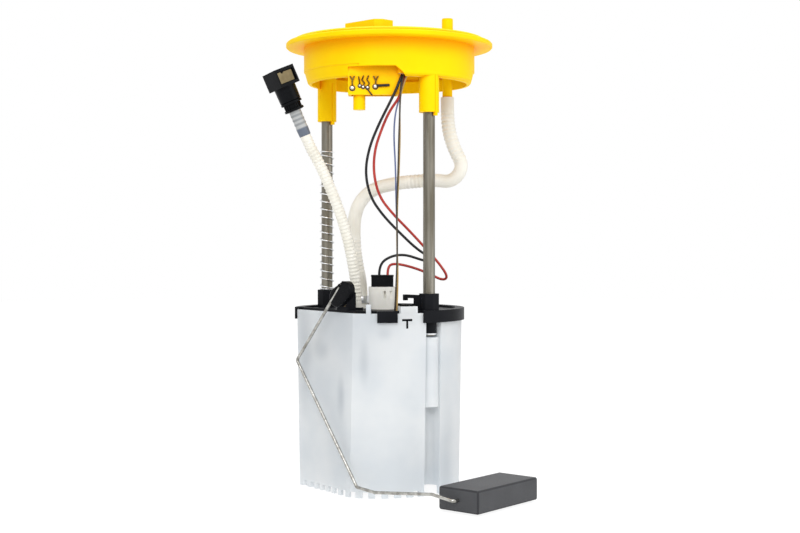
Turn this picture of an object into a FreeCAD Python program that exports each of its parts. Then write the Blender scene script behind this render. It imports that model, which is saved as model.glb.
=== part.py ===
import FreeCAD, Part

import math
import os
import re

import Sketcher
from FreeCAD import Placement, Rotation, Vector

# Fuel pump module. Millimetres, +Z up. The origin is on the swirl pot's axis, in the plane that
# the pot stands on. X runs through the two guide rods, and the level sender is on the -Y side.

SIZES = {
    "Reservoir": (
        ("pot_height", 122.0, "top edge of the wall above the standing plane"),
        ("pot_top_radius", 57.5, "outer radius at the top edge"),
        ("pot_foot_radius", 55.6, "outer radius at the floor, less by the draft"),
        ("pot_wall", 2.0, "wall and floor thickness"),
        ("foot_height", 5.5, "height of the toothed foot under the floor"),
        ("foot_wall", 2.4, "thickness of the toothed foot"),
        ("foot_boss_radius", 13.0, "flat boss under the middle of the floor"),
        ("tooth_count", 40, "teeth round the foot"),
        ("tooth_gap", 4.2, "gap between two teeth"),
        ("tooth_height", 4.0, "depth of the gaps between the teeth"),
        ("facet_angle", 261.5, "direction that the flat side faces, in degrees"),
        ("facet_distance", 46.2, "flat side from the axis"),
        ("channel_radius", 5.3, "rod channel in the wall"),
        ("channel_mouth", 2.7, "channel's mouth wider than its bottom, towards the sender"),
        ("sleeve_radius", 6.4, "outside of the sleeve that closes the channel"),
        ("sleeve_low", "=sleeve_high - 46.5", "lower end of that sleeve"),
        ("sleeve_high", "=pot_height - 16.5", "upper end of that sleeve"),
        ("vent_angle", -24.0, "direction of the vent box, in degrees"),
        ("vent_width", 12.0, "vent box across"),
        ("vent_inner", 48.0, "inner side of the vent box from the axis"),
        ("vent_height", 4.6, "vent box above the wall"),
        ("vent_cap_height", 1.6, "oval cap on the vent box"),
        ("vent_cap_width", 10.0, "oval cap across"),
        ("vent_cap_depth", 5.0, "oval cap along the radius"),
        ("post_angle", -51.5, "direction of the small upright rib, in degrees"),
        ("post_width", 3.0, "small upright rib across"),
        ("post_height", 6.0, "small upright rib above the wall"),
        ("hook_slot_angle", -25.5, "direction of the latch slot, in degrees"),
        ("hook_slot_width", 7.2, "latch slot at its top"),
        ("hook_slot_top", "=pot_height - 3.6", "upper edge of the latch slot"),
        ("hook_slot_low", "=hook_slot_top - 6.4", "lower end of the latch slot"),
        ("hook_slot_line", 1.5, "height of the bar and width of the stem"),
        ("key_set", 0.25, "latch in that slot, below the wall's outside"),
        ("key_play", 0.05, "latch in that slot"),
        ("valve_x", 27.0, "foot valve"),
        ("valve_y", 24.0, "foot valve"),
        ("valve_radius", 8.0, "rubber umbrella of the foot valve"),
        ("valve_stem_radius", 1.6, "stem of the foot valve"),
        ("valve_port_radius", 1.8, "each of its four inlet ports"),
        ("valve_port_circle", 4.6, "inlet ports from the stem"),
    ),
    "Guide rods": (
        ("rod_x", 51.2, "each rod from the middle plane"),
        ("rod_y", -3.3, "both rods, towards the sender"),
        ("rod_radius", 4.0, "rod"),
        ("rod_tip", 0.9, "rod below its clip's groove"),
        ("rod_bevel", 0.5, "bevel at the rod's ends"),
        ("rod_seat", "=rim_low - 5", "upper end, pressed into the flange"),
        ("rod_groove_depth", 0.6, "groove for the retaining clip"),
        ("clip_radius", 4.9, "retaining clip, outside"),
        ("clip_thickness", 1.0, "retaining clip"),
        ("clip_gap", 5.0, "opening of the clip"),
        ("rod_clearance", 0.06, "rod in its bush, on the radius"),
        ("clip_play", 0.1, "clip in its groove, each way"),
    ),
    "Spring": (
        ("spring_height", 100.6, "free length"),
        ("spring_radius", 4.85, "middle of the wire from the rod's axis"),
        ("spring_pitch", 5.4, "rise for each turn"),
        ("spring_wire", 0.9, "wire diameter"),
    ),
    "Cover": (
        ("cover_top", "=pot_height + 0.2", "upper face of the plate"),
        ("cover_plate", 2.5, "thickness of the plate"),
        ("cover_gap", 0.3, "plate inside the pot's wall"),
        ("cover_bead", 1.5, "raised bead along the plate's edge"),
        ("cover_bead_width", 2.2, "width of that bead"),
        ("skirt_start", -14.0, "start of the outer skirt, in degrees"),
        ("skirt_sweep", 239.0, "angle that the skirt covers, in degrees"),
        ("skirt_gap", 0.25, "skirt outside the pot's wall"),
        ("skirt_wall", 1.5, "skirt thickness"),
        ("skirt_low", "=pot_height - 6.5", "lower edge of the skirt"),
        ("tower_width", 13.2, "rod tower, eight-sided, across its flats"),
        ("tower_top", "=cover_top + 12.4", "top of the rod towers"),
        ("bush_radius", 5.1, "bush below the tower"),
        ("bush_low", "=cover_top - 14", "lower end of the bush"),
        ("tab_angle", -39.0, "direction of the clip tab, in degrees"),
        ("tab_width", 13.5, "clip tab across"),
        ("tab_low", "=pot_height - 6", "lower edge of the clip tab"),
        ("hook_x", 43.6, "post of the wire hook"),
        ("hook_y", -10.5, "wire hook"),
        ("hook_width", 6.0, "post of the wire hook"),
        ("hook_depth", 3.0, "wire hook, front to back"),
        ("hook_rise", 9.2, "underside of the hook's arm above the plate"),
        ("hook_arm", 2.3, "height of that arm"),
        ("hook_reach", 10.1, "arm beyond its post"),
        ("hook_lip", 1.7, "lip at the arm's end, downwards"),
        ("hook_lip_width", 2.0, "that lip"),
        ("nipple_x", 9.0, "transfer nipple"),
        ("nipple_y", -30.6, "transfer nipple"),
        ("nipple_radius", 4.8, "transfer nipple"),
        ("nipple_height", 2.6, "transfer nipple above the plate"),
        ("nipple_bore", 2.3, "transfer nipple, inside"),
        ("opening_play", 0.6, "cover round what stands through it"),
    ),
    "Pump": (
        ("pump_x", -10.5, "pump axis"),
        ("pump_y", 2.2, "pump axis"),
        ("can_radius", 19.0, "steel can, outside"),
        ("can_wall", 1.2, "steel can"),
        ("can_low", "=can_high - 68", "lower end of the can"),
        ("can_high", "=cover_top - 22.2", "upper end of the can"),
        ("cap_high", "=can_high + 9", "shoulder of the upper end cap"),
        ("inlet_low", "=can_low - 11", "lower end of the inlet spout"),
        ("spout_radius", 5.0, "inlet spout"),
        ("head_x", -1.4, "electrical tower"),
        ("head_y", 4.2, "electrical tower"),
        ("head_radius", 9.7, "electrical tower"),
        ("head_top", "=cover_top + 15.6", "top of the electrical tower"),
        ("slot_first", 1.8, "first contact slot from the tower's axis"),
        ("slot_second", 6.1, "second contact slot from the tower's axis"),
        ("slot_width", 1.5, "contact slots"),
        ("slot_height", 4.9, "contact slots"),
        ("slot_drop", 2.8, "contact slots below the tower's top"),
        ("slot_floor", 6.4, "bottom of the contact slots from the tower's axis"),
        ("outlet_x", -19.3, "outlet nipple"),
        ("outlet_y", 0.5, "outlet nipple"),
        ("outlet_radius", 4.9, "outlet nipple's shoulder"),
        ("outlet_top", "=cover_top + 3.2", "top of the outlet nipple's shoulder"),
        ("outlet_bore", 2.2, "outlet nipple, inside"),
        ("magnet_wall", 2.2, "magnets"),
        ("magnet_low", "=can_low + 14", "magnets"),
        ("magnet_high", "=can_high - 16", "magnets"),
        ("core_radius", 14.8, "armature core"),
        ("shaft_radius", 1.6, "motor shaft"),
        ("impeller_radius", 15.5, "impeller"),
        ("impeller_low", "=can_low + 4.2", "underside of the impeller"),
        ("impeller_height", 3.6, "impeller"),
        ("vane_count", 18, "gaps between the vanes of the impeller"),
        ("commutator_radius", 7.0, "commutator"),
        ("motor_play", 0.05, "shaft in its bearings, on the radius"),
        ("isolator_height", 6.0, "rubber isolators"),
        ("isolator_wall", 2.6, "rubber isolators"),
        ("holder_wall", 1.8, "pump holder"),
        ("holder_high", "=can_high + 1", "top of the pump holder"),
        ("strainer_height", 8.0, "suction strainer"),
        ("plug_width", 15.5, "pump plug across"),
        ("plug_depth", 11.5, "pump plug, the other way"),
        ("plug_top", "=head_top + 8.2", "top of the pump plug"),
        ("plug_edge", 1.5, "rounding of the plug's upright edges"),
        ("brush_gap", 0.3, "brush from the commutator"),
        ("brush_length", 5.0, "brushes"),
        ("brush_width", 4.0, "brushes"),
        ("brush_height", 6.0, "brushes"),
        ("cap_seat", 6.0, "end cap's spigot inside the can"),
        ("magnet_gap", 11.0, "gap between the two magnets"),
        ("jet_height", 9.0, "jet pump's axis above the floor"),
        ("jet_radius", 4.2, "jet pump's body"),
        ("jet_length", 26.0, "jet pump's body"),
        ("jet_throat", 2.2, "jet pump's mouth, inside"),
        ("jet_foot", 9.0, "foot under the jet pump, square"),
        ("jet_neck", 4.0, "neck above the jet pump's body"),
        ("pipe_wall", 1.4, "transfer pipe"),
    ),
    "Flange": (
        ("flange_y", 9.6, "flange axis from the pot's axis"),
        ("rim_radius", 72.5, "rim"),
        ("rim_low", 305.0, "seal face under the rim"),
        ("rim_thickness", 3.5, "rim"),
        ("plateau_radius", 68.0, "raised middle"),
        ("plateau_height", 2.5, "raised middle above the rim"),
        ("plate_thickness", 3.5, "top plate"),
        ("spigot_radius", 60.0, "spigot that fits the tank's opening"),
        ("spigot_low", "=rim_low - 17", "lower edge of the spigot"),
        ("spigot_wall", 3.0, "spigot"),
        ("step_radius", 57.4, "lower step of the spigot"),
        ("step_low", "=rim_low - 25.4", "lower edge of the step"),
        ("guide_angle", -33.6, "direction of the wire guide from the flange's axis, in degrees"),
        ("guide_low", "=rim_low - 23.3", "underside of the wire guide"),
        ("guide_width", 9.0, "wire guide across"),
        ("guide_depth", 6.5, "wire guide from the spigot's wall inwards"),
        ("hub_radius", 14.0, "ring that the ribs start from"),
        ("rib_low", "=rim_low - 13", "lower edge of the ribs"),
        ("full_start", -64.0, "where the spigot is full to its lower edge, in degrees"),
        ("full_sweep", 92.0, "angle of that stretch, in degrees"),
        ("socket_radius", 6.8, "rod sockets"),
        ("socket_low", "=rim_low - 48.8", "lower end of the sockets"),
        ("socket_rib_proud", 0.3, "small rib beyond the socket"),
        ("socket_rib_drop", 2.4, "small rib below the socket"),
        ("rib_thickness", 1.6, "stiffening ribs"),
        ("carrier_x", 24.6, "terminal carrier, middle"),
        ("carrier_y", -29.4, "terminal carrier, middle"),
        ("carrier_width", 34.0, "terminal carrier across"),
        ("carrier_depth", 12.0, "terminal carrier, front to back"),
        ("carrier_low", "=rim_low - 37.4", "lower edge of the terminal carrier"),
        ("bay_top", "=rim_low - 18.8", "upper edge of the opening in front of it"),
        ("peg_radius", 4.1, "locating peg"),
        ("peg_low", "=rim_low - 47", "lower end of the locating peg"),
        ("peg_shift", 9.6, "locating peg from the carrier's middle"),
        ("shroud_left", -16.0, "connector shroud"),
        ("shroud_right", 21.0, "connector shroud"),
        ("shroud_front", -21.6, "connector shroud"),
        ("shroud_back", -3.6, "connector shroud"),
        ("shroud_top", "=rim_low + 16", "connector shroud"),
        ("shroud_wall", 1.8, "connector shroud"),
        ("shroud_corner", 4.0, "bevel of the shroud's upright corners"),
        ("shroud_floor", 0.5, "shroud's floor above the plate"),
        ("port_x", 26.7, "supply port"),
        ("port_y", 41.0, "supply port"),
        ("port_radius", 3.95, "supply port, outside"),
        ("port_bore", 2.2, "supply port, inside"),
        ("port_top", "=rim_low + 22", "top of the supply port"),
        ("port_base_radius", 6.4, "base of the supply port"),
        ("port_base_height", 1.6, "base of the supply port"),
        ("port_tongue", 10.0, "base drawn out beside the port, from the port's axis"),
        ("port_bevel", 0.6, "step at the port's top"),
        ("port_nipple_radius", 3.5, "hose nipple under the port"),
        ("port_nipple_low", "=rim_low - 33.6", "lower end of that nipple"),
        ("pin_pitch", 6.0, "terminals, from one to the next"),
        ("pin_count", 5, "terminals"),
        ("pin_width", 1.6, "terminals across"),
        ("pin_thickness", 0.8, "terminals, the other way"),
    ),
    "Level sender": (
        ("pivot_x", 15.0, "arm pivot"),
        ("sender_proud", 3.4, "sender housing beyond the pot's flat side"),
        ("pivot_z", "=cover_top + 10.3", "arm pivot"),
        ("sender_width", 9.5, "sender housing"),
        ("sender_depth", 8.5, "sender housing"),
        ("sender_top", "=pivot_z + 3", "sender housing"),
        ("wiper_length", 5.5, "wiper"),
        ("wiper_height", 1.2, "wiper"),
        ("wiper_drop", 5.0, "wiper below the pivot"),
        ("seat_depth", 2.2, "foot of the housing inside the cover's bead"),
        ("card_thickness", 0.8, "resistor card"),
        ("card_gap", 0.6, "between the card and the arm holder, for the wiper"),
        ("pivot_pin_radius", 1.5, "pivot pin"),
        ("pin_gap", 0.15, "between the pin's end and the arm's wire"),
        ("holder_thickness", 5.0, "arm holder"),
        ("holder_end_x", 22.6, "upper end of the arm holder"),
        ("holder_end_z", "=pivot_z + 4.9", "upper end of the arm holder"),
        ("holder_radius", 6.6, "arm holder round the pivot"),
        ("holder_end_radius", 6.0, "arm holder at its upper end"),
        ("holder_edge", 1.2, "rounding of the arm holder's front edge"),
        ("arm_radius", 1.05, "float arm wire"),
        ("groove_depth", 2.25, "groove for the arm's wire in its holder"),
        ("groove_length", 22.0, "that groove, from the wire's end"),
        ("arm_bend", 2.4, "radius of the wire's bends"),
        ("arm_stub", 4.5, "wire between its last bend and the float"),
        ("float_length", 66.0, "float"),
        ("float_width", 31.0, "float"),
        ("float_height", 14.8, "float"),
        ("float_x", 107.1, "float's middle"),
        ("float_y", -6.1, "float's middle"),
        ("float_z", 8.5, "float's middle"),
        ("float_turn", 5.5, "float's long axis from Y, in degrees"),
        ("float_edge", 1.6, "rounding of the float's edges"),
        ("float_bore_depth", 46.0, "bore for the arm's end"),
        ("float_play", 0.08, "arm in the float's bore, on the radius"),
    ),
    "Hoses and connector": (
        ("outlet_hose_radius", 4.8, "pump outlet hose"),
        ("clamp_width", 5.0, "hose clamp"),
        ("clamp_wall", 0.7, "hose clamp"),
        ("transfer_hose_radius", 3.7, "transfer hose"),
        ("hose_end_x", 2.6, "upper end of the transfer hose, where its sleeve starts"),
        ("hose_end_y", -70.9, "upper end of the transfer hose"),
        ("hose_end_z", 239.65, "upper end of the transfer hose"),
        ("connector_lean_x", -7.1, "direction of the quick connector's axis"),
        ("connector_lean_y", -12.4, "direction of the quick connector's axis"),
        ("connector_lean_z", 32.7, "direction of the quick connector's axis"),
        ("button_facing", -8.0, "turn of the quick connector on its axis, in degrees"),
        ("hose_sleeve_radius", 4.3, "hose sleeve"),
        ("hose_sleeve_length", 17.5, "hose sleeve"),
        ("connector_radius", 6.2, "quick connector's body"),
        ("connector_bore", 4.0, "quick connector, for an 8 mm spigot"),
        ("connector_neck", 17.0, "from the first ring to the head"),
        ("ring_radius", 7.2, "rings of the quick connector"),
        ("head_side", 15.6, "quick connector's head, square"),
        ("head_height", 12.2, "quick connector's head"),
        ("connector_depth", 20.2, "bore of the quick connector"),
        ("lead_in", 1.4, "wider mouth of that bore"),
        ("seal_radius", 0.6, "section of the quick connector's seals"),
        ("seal_first", 3.5, "first seal below the head"),
        ("seal_pitch", 3.0, "from one seal to the next"),
        ("button_width", 12.6, "release button"),
        ("button_height", 7.6, "release button"),
        ("button_plate", 1.4, "release button's face"),
        ("button_leg", 1.5, "legs of the release button beside the bore"),
        ("leg_height", 4.0, "those legs"),
        ("leg_end", 4.5, "end of the legs behind the bore's axis"),
        ("button_set", 0.3, "release button below the head's side"),
        ("button_travel", 1.2, "release button"),
        ("button_play", 0.3, "release button in its window"),
    ),
    "Wires": (
        ("power_wire_radius", 0.9, "the pump's two wires"),
        ("signal_wire_radius", 0.55, "the sender's three wires"),
    ),
}

document = FreeCAD.newDocument("FuelPumpModule")
sheet = document.addObject("Spreadsheet::Sheet", "Sizes")
nodes = {}


def fill_sheet():
    row = 1
    for group, sizes in SIZES.items():
        sheet.set(f"A{row}", group)
        row += 1
        for alias, value, note in sizes:
            sheet.set(f"A{row}", note)
            sheet.set(f"B{row}", str(value))
            sheet.setAlias(f"B{row}", alias)
            row += 1
    document.recompute()


def size(alias):
    return float(sheet.get(alias))


def linked(text):
    """The expression with each size's name pointed at its cell."""
    return re.sub(r"\b[a-z]+(_[a-z]+)+\b", lambda word: "Sizes." + word.group(0), text)


def bind(thing, path, text):
    thing.setExpression(path, linked(text))


def place(thing, x="0", y="0", z="0"):
    bind(thing, "Placement.Base.x", x)
    bind(thing, "Placement.Base.y", y)
    bind(thing, "Placement.Base.z", z)
    return thing


def keep(label, thing):
    thing.Label = label
    nodes[label] = thing
    return thing


# Primitives and booleans

def cylinder(radius, height, x="0", y="0", z="0"):
    solid = document.addObject("Part::Cylinder", "Cylinder")
    bind(solid, "Radius", radius)
    bind(solid, "Height", height)
    return place(solid, x, y, z)


def box(length, width, height, x="0", y="0", z="0"):
    solid = document.addObject("Part::Box", "Box")
    bind(solid, "Length", length)
    bind(solid, "Width", width)
    bind(solid, "Height", height)
    return place(solid, x, y, z)


def fuse(parts):
    joined = document.addObject("Part::MultiFuse", "Union")
    joined.Shapes = parts
    joined.Refine = True
    return joined


def cut(base, tools):
    left = document.addObject("Part::Cut", "Difference")
    left.Base = base
    left.Tool = tools[0] if len(tools) == 1 else fuse(tools)
    left.Refine = True
    return left


def tube(outer, inner, height, x="0", y="0", z="0"):
    return cut(cylinder(outer, height, x, y, z), [cylinder(inner, height, x, y, z)])


def rounded(base, radius, chosen):
    """Fillet on the edges for which chosen(edge) is true."""
    document.recompute()
    soft = document.addObject("Part::Fillet", "Rounded")
    soft.Base = base
    edges = base.Shape.Edges
    soft.Edges = [(i + 1, size(radius), size(radius)) for i, edge in enumerate(edges) if chosen(edge)]
    return soft


# Bodies, sketches and their features

def new_body(label, x="0", y="0", z="0"):
    body = document.addObject("PartDesign::Body", label)
    place(body, x, y, z)
    return keep(label, body)


def new_sketch(body, plane="XY_Plane", height="0"):
    sketch = body.newObject("Sketcher::SketchObject", "Sketch")
    support = next(f for f in body.Origin.OriginFeatures if f.Role == plane)
    sketch.AttachmentSupport = [(support, "")]
    sketch.MapMode = "FlatFace"
    bind(sketch, "AttachmentOffset.Base.z", height)
    return sketch


def turned_sketch(body, angle, distance="0"):
    """Upright sketch that faces the direction angle, at a distance from the axis."""
    sketch = new_sketch(body, "XZ_Plane")
    sketch.AttachmentOffset = Placement(Vector(), Rotation(Vector(0, 1, 0), 1))
    bind(sketch, "AttachmentOffset.Rotation.Angle", f"{angle} + 90")
    bind(sketch, "AttachmentOffset.Base.x", f"({distance}) * sin({angle} + 90)")
    bind(sketch, "AttachmentOffset.Base.z", f"({distance}) * cos({angle} + 90)")
    return sketch


def dimension(sketch, kind, *what):
    """One driving dimension: its value starts at a guess and then follows the last argument."""
    *ends, guess, text = what
    index = sketch.addConstraint(Sketcher.Constraint(kind, *ends, guess))
    bind(sketch, f"Constraints[{index}]", text)


def outline(sketch, corners):
    """Closed outline of straight edges, each corner with its own two dimensions."""
    count = len(corners)
    first = sketch.GeometryCount
    start = [Vector(10 * math.cos(2 * math.pi * i / count), 10 * math.sin(2 * math.pi * i / count), 0)
             for i in range(count)]
    for i in range(count):
        sketch.addGeometry(Part.LineSegment(start[i], start[(i + 1) % count]), False)
    for i in range(count):
        sketch.addConstraint(Sketcher.Constraint("Coincident", first + i, 2, first + (i + 1) % count, 1))
    for i, (x, y) in enumerate(corners):
        dimension(sketch, "DistanceX", -1, 1, first + i, 1, start[i].x, x)
        dimension(sketch, "DistanceY", -1, 1, first + i, 1, start[i].y, y)
    return sketch


def rectangle(sketch, left, right, low, high):
    return outline(sketch, [(left, low), (right, low), (right, high), (left, high)])


def bevelled(sketch, left, right, low, high, corner):
    """Rectangle with its four corners cut off."""
    return outline(sketch, [
        (f"{left} + {corner}", low), (f"{right} - ({corner})", low),
        (right, f"{low} + {corner}"), (right, f"{high} - ({corner})"),
        (f"{right} - ({corner})", high), (f"{left} + {corner}", high),
        (left, f"{high} - ({corner})"), (left, f"{low} + {corner}"),
    ])


def circle(sketch, radius, x="0", y="0"):
    index = sketch.addGeometry(Part.Circle(Vector(5, 5, 0), Vector(0, 0, 1), 3), False)
    dimension(sketch, "DistanceX", -1, 1, index, 3, 5, x)
    dimension(sketch, "DistanceY", -1, 1, index, 3, 5, y)
    dimension(sketch, "Radius", index, 3, radius)
    return sketch


def flatted_circle(sketch, radius, flat):
    """Circle with the flat side: its distance is from the middle, in the facet's direction."""
    facing = math.radians(size("facet_angle"))
    half = math.acos(0.8)
    ring = Part.Circle(Vector(), Vector(0, 0, 1), 50)
    start, end = facing + half, facing - half + 2 * math.pi
    arc = sketch.addGeometry(Part.ArcOfCircle(ring, start, end), False)
    chord = Part.LineSegment(ring.value(end), ring.value(start))
    flat_line = sketch.addGeometry(chord, False)
    sketch.addConstraint(Sketcher.Constraint("Coincident", arc, 3, -1, 1))
    sketch.addConstraint(Sketcher.Constraint("Coincident", arc, 1, flat_line, 2))
    sketch.addConstraint(Sketcher.Constraint("Coincident", arc, 2, flat_line, 1))
    dimension(sketch, "Radius", arc, 50, radius)
    dimension(sketch, "Distance", -1, 1, flat_line, 40, flat)
    dimension(sketch, "Angle", flat_line, facing - 1.5 * math.pi, "facet_angle - 270")
    return sketch


def pad(body, sketch, length, down=False):
    feature = body.newObject("PartDesign::Pad", "Pad")
    feature.Profile = sketch
    bind(feature, "Length", length)
    feature.Reversed = down
    return feature


def pocket(body, sketch, depth=None, up=False):
    feature = body.newObject("PartDesign::Pocket", "Pocket")
    feature.Profile = sketch
    if depth is None:
        feature.Type = "ThroughAll"
    else:
        bind(feature, "Length", depth)
    feature.Reversed = up
    return feature


def revolve(body, sketch, sweep="360", groove=False):
    kind = "Groove" if groove else "Revolution"
    feature = body.newObject(f"PartDesign::{kind}", kind)
    feature.Profile = sketch
    feature.ReferenceAxis = (sketch, ["V_Axis"])
    bind(feature, "Angle", sweep)
    return feature


def turned(label, corners, x="0", y="0", z="0"):
    """Body of revolution from one outline of (radius, height) corners."""
    body = new_body(label, x, y, z)
    revolve(body, outline(new_sketch(body, "XZ_Plane"), corners))
    return body


def polar(body, feature, count):
    pattern = body.newObject("PartDesign::PolarPattern", "PolarPattern")
    pattern.Originals = [feature]
    axis = next(f for f in body.Origin.OriginFeatures if f.Role == "Z_Axis")
    pattern.Axis = (axis, [""])
    pattern.Angle = 360
    bind(pattern, "Occurrences", count)
    body.Tip = pattern
    return pattern


# Wires and hoses: straight runs joined by arcs

def bent_path(points, radius=None):
    """Wire through the points: each corner is an arc, of one radius or as large as its runs allow."""
    edges = []
    radii = []
    start = points[0]
    for before, corner, after in zip(points, points[1:], points[2:]):
        back = (before - corner).normalize()
        ahead = (after - corner).normalize()
        turn = math.pi - back.getAngle(ahead)
        shorter = min((corner - before).Length, (after - corner).Length)
        bend = radius or 0.45 * shorter / math.tan(turn / 2)
        reach = bend * math.tan(turn / 2)
        enter = corner + back * reach
        leave = corner + ahead * reach
        centre = corner + (back + ahead).normalize() * (bend / math.cos(turn / 2))
        middle = centre + (corner - centre).normalize() * bend
        edges.append(Part.LineSegment(start, enter).toShape())
        edges.append(Part.Arc(enter, middle, leave).toShape())
        radii.append(bend)
        start = leave
    edges.append(Part.LineSegment(start, points[-1]).toShape())
    return Part.Wire(edges), radii


def rod_along(label, points, radius, bend=None):
    """Round solid along the points."""
    corners = [Vector(*point) for point in points]
    path, radii = bent_path(corners, bend)
    ring = Part.Circle(corners[0], corners[1] - corners[0], radius)
    shape = path.makePipeShell([Part.Wire([ring.toShape()])], True, False)
    expected = math.pi * radius ** 2 * path.Length
    print(f"{label}: {path.Length:.1f} mm, volume {shape.Volume / expected:.4f} of section times length,"
          f" least radius {min(radii):.1f}, {min(radii) / radius / 2:.1f} diameters")
    feature = document.addObject("Part::Feature", label)
    feature.Shape = shape
    return keep(label, feature)


# The swirl pot and what is moulded on it

def make_reservoir():
    body = new_body("reservoir")
    wall = outline(new_sketch(body, "XZ_Plane"), [
        ("0", "foot_height"),
        ("pot_foot_radius", "foot_height"),
        ("pot_top_radius", "pot_height"),
        ("0", "pot_height"),
    ])
    revolve(body, wall)
    flat = new_sketch(body, height="pot_height")
    flatted_circle(flat, "pot_top_radius + 20", "facet_distance")
    circle(flat, "pot_top_radius + 40")
    pocket(body, flat)
    for side in ("", "-"):
        cut_channel(body, side, "pot_height")
    document.recompute()
    tip = body.Tip
    shell = body.newObject("PartDesign::Thickness", "Shell")
    top = max(range(len(tip.Shape.Faces)), key=lambda i: tip.Shape.Faces[i].CenterOfMass.z)
    shell.Base = (tip, [f"Face{top + 1}"])
    bind(shell, "Value", "pot_wall")
    shell.Reversed = True
    body.Tip = shell
    # toothed foot, with the channels open through it
    foot = new_sketch(body, height="foot_height")
    flatted_circle(foot, "pot_foot_radius", "facet_distance")
    flatted_circle(foot, "pot_foot_radius - foot_wall", "facet_distance - foot_wall")
    pad(body, foot, "foot_height", down=True)
    pad(body, circle(new_sketch(body, height="foot_height"), "foot_boss_radius"), "foot_height", down=True)
    slot = rectangle(
        new_sketch(body), "foot_boss_radius + 4", "pot_top_radius + 4", "-tooth_gap / 2", "tooth_gap / 2")
    gap = pocket(body, slot, "tooth_height", up=True)
    polar(body, gap, "tooth_count")
    for side in ("", "-"):
        cut_channel(body, side, "foot_height")
    # the channels' inner walls end under the cover's plate
    for side in ("", "-"):
        cut_channel(body, side, "pot_height", "pot_wall + cover_gap",
                    "pot_height - cover_top + cover_plate + cover_gap")
    # sleeve that closes each channel on the outside
    for side in ("", "-"):
        ring = new_sketch(body, height="sleeve_low")
        circle(ring, "sleeve_radius", f"{side}rod_x", "rod_y")
        circle(ring, "channel_radius", f"{side}rod_x", "rod_y")
        pad(body, ring, "sleeve_high - sleeve_low")
    add_vent_box(body)
    post = new_sketch(body, height="pot_height - 8")
    radial_rectangle(post, "post_angle", "pot_top_radius - pot_wall - 1", "pot_top_radius", "post_width")
    pad(body, post, "post_height + 8")
    cut_latch_slot(body)
    cut_valve_ports(body)


def cut_channel(body, side, top, margin="0", depth=None):
    """Rod channel: a round bottom at the rod's axis, open to the outside."""
    half = f"(channel_radius + {margin})"
    rod, near, edge = f"{side}rod_x", f"{side}(rod_x - ({margin}))", f"{side}(pot_top_radius + 8)"
    pocket(body, circle(new_sketch(body, height=top), half, rod, "rod_y"), depth)
    mouth = new_sketch(body, height=top)
    low, high = f"rod_y - {half} - channel_mouth", f"rod_y + {half}"
    outline(mouth, [(near, low), (edge, low), (edge, high), (near, high)])
    pocket(body, mouth, depth)


def radial_rectangle(sketch, angle, near, far, across):
    """Rectangle whose length runs outwards along the direction angle."""
    corners = []
    for reach, side in ((near, -1), (far, -1), (far, 1), (near, 1)):
        half = f"{side} * ({across}) / 2"
        corners.append((f"({reach}) * cos({angle}) - {half} * sin({angle})",
                        f"({reach}) * sin({angle}) + {half} * cos({angle})"))
    return outline(sketch, corners)


def add_vent_box(body):
    block = new_sketch(body, height="pot_height - 6")
    radial_rectangle(block, "vent_angle", "vent_inner", "pot_top_radius - 0.4", "vent_width")
    pad(body, block, "vent_height + 6")


def cut_latch_slot(body):
    """Slot with a bar and a stem, for the cover's latch."""
    sketch = turned_sketch(body, "hook_slot_angle", "pot_top_radius + 2")
    latch_outline(sketch, "0")
    pocket(body, sketch, "pot_wall + 3.2")


def latch_outline(sketch, play):
    half, stem = f"hook_slot_width / 2 - {play}", f"hook_slot_line / 2 - {play}"
    top, under, low = (f"hook_slot_top - {play}", f"hook_slot_top - hook_slot_line + {play}",
                       f"hook_slot_low + {play}")
    return outline(sketch, [
        (f"-({half})", top), (f"-({half})", under), (f"-({stem})", under), (f"-({stem})", low),
        (stem, low), (stem, under), (half, under), (half, top),
    ])


def make_latch_key():
    """Black latch that fills the slot in the pot's wall."""
    body = new_body("latch_key")
    sketch = turned_sketch(body, "hook_slot_angle", "pot_top_radius - key_set")
    latch_outline(sketch, "key_play")
    pad(body, sketch, "pot_wall", down=True)


def cut_valve_ports(body):
    sketch = new_sketch(body, height="foot_height + pot_wall")
    circle(sketch, "valve_stem_radius + 0.05", "valve_x", "valve_y")
    for x, y in (("+", "+"), ("+", "-"), ("-", "+"), ("-", "-")):
        reach = "valve_port_circle * cos(45)"
        circle(sketch, "valve_port_radius", f"valve_x {x} {reach}", f"valve_y {y} {reach}")
    pocket(body, sketch, "pot_wall")


def make_vent_cap():
    base = "pot_height + vent_height"
    reach = "(vent_inner + pot_top_radius - 0.4) / 2"
    cap = document.addObject("Part::Ellipsoid", "Oval")
    bind(cap, "Placement.Rotation.Angle", "vent_angle + 90")
    bind(cap, "Radius2", "vent_cap_width / 2")
    bind(cap, "Radius3", "vent_cap_depth / 2")
    bind(cap, "Radius1", "vent_cap_height")
    cap.Angle1 = 0
    place(cap, f"{reach} * cos(vent_angle)", f"{reach} * sin(vent_angle)", base)
    keep("vent_cap", cap)


def make_foot_valve():
    floor = "foot_height + pot_wall"
    turned("foot_valve", [
        ("0", "foot_height - 1.6"),
        ("valve_stem_radius + 0.9", "foot_height - 1.6"),
        ("valve_stem_radius", "foot_height"),
        ("valve_stem_radius", floor),
        ("valve_radius", floor),
        ("valve_radius", f"{floor} + 0.7"),
        ("valve_radius / 2", f"{floor} + 1.8"),
        ("0", f"{floor} + 2.2"),
    ], "valve_x", "valve_y")


# The black cover with its rod towers

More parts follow.
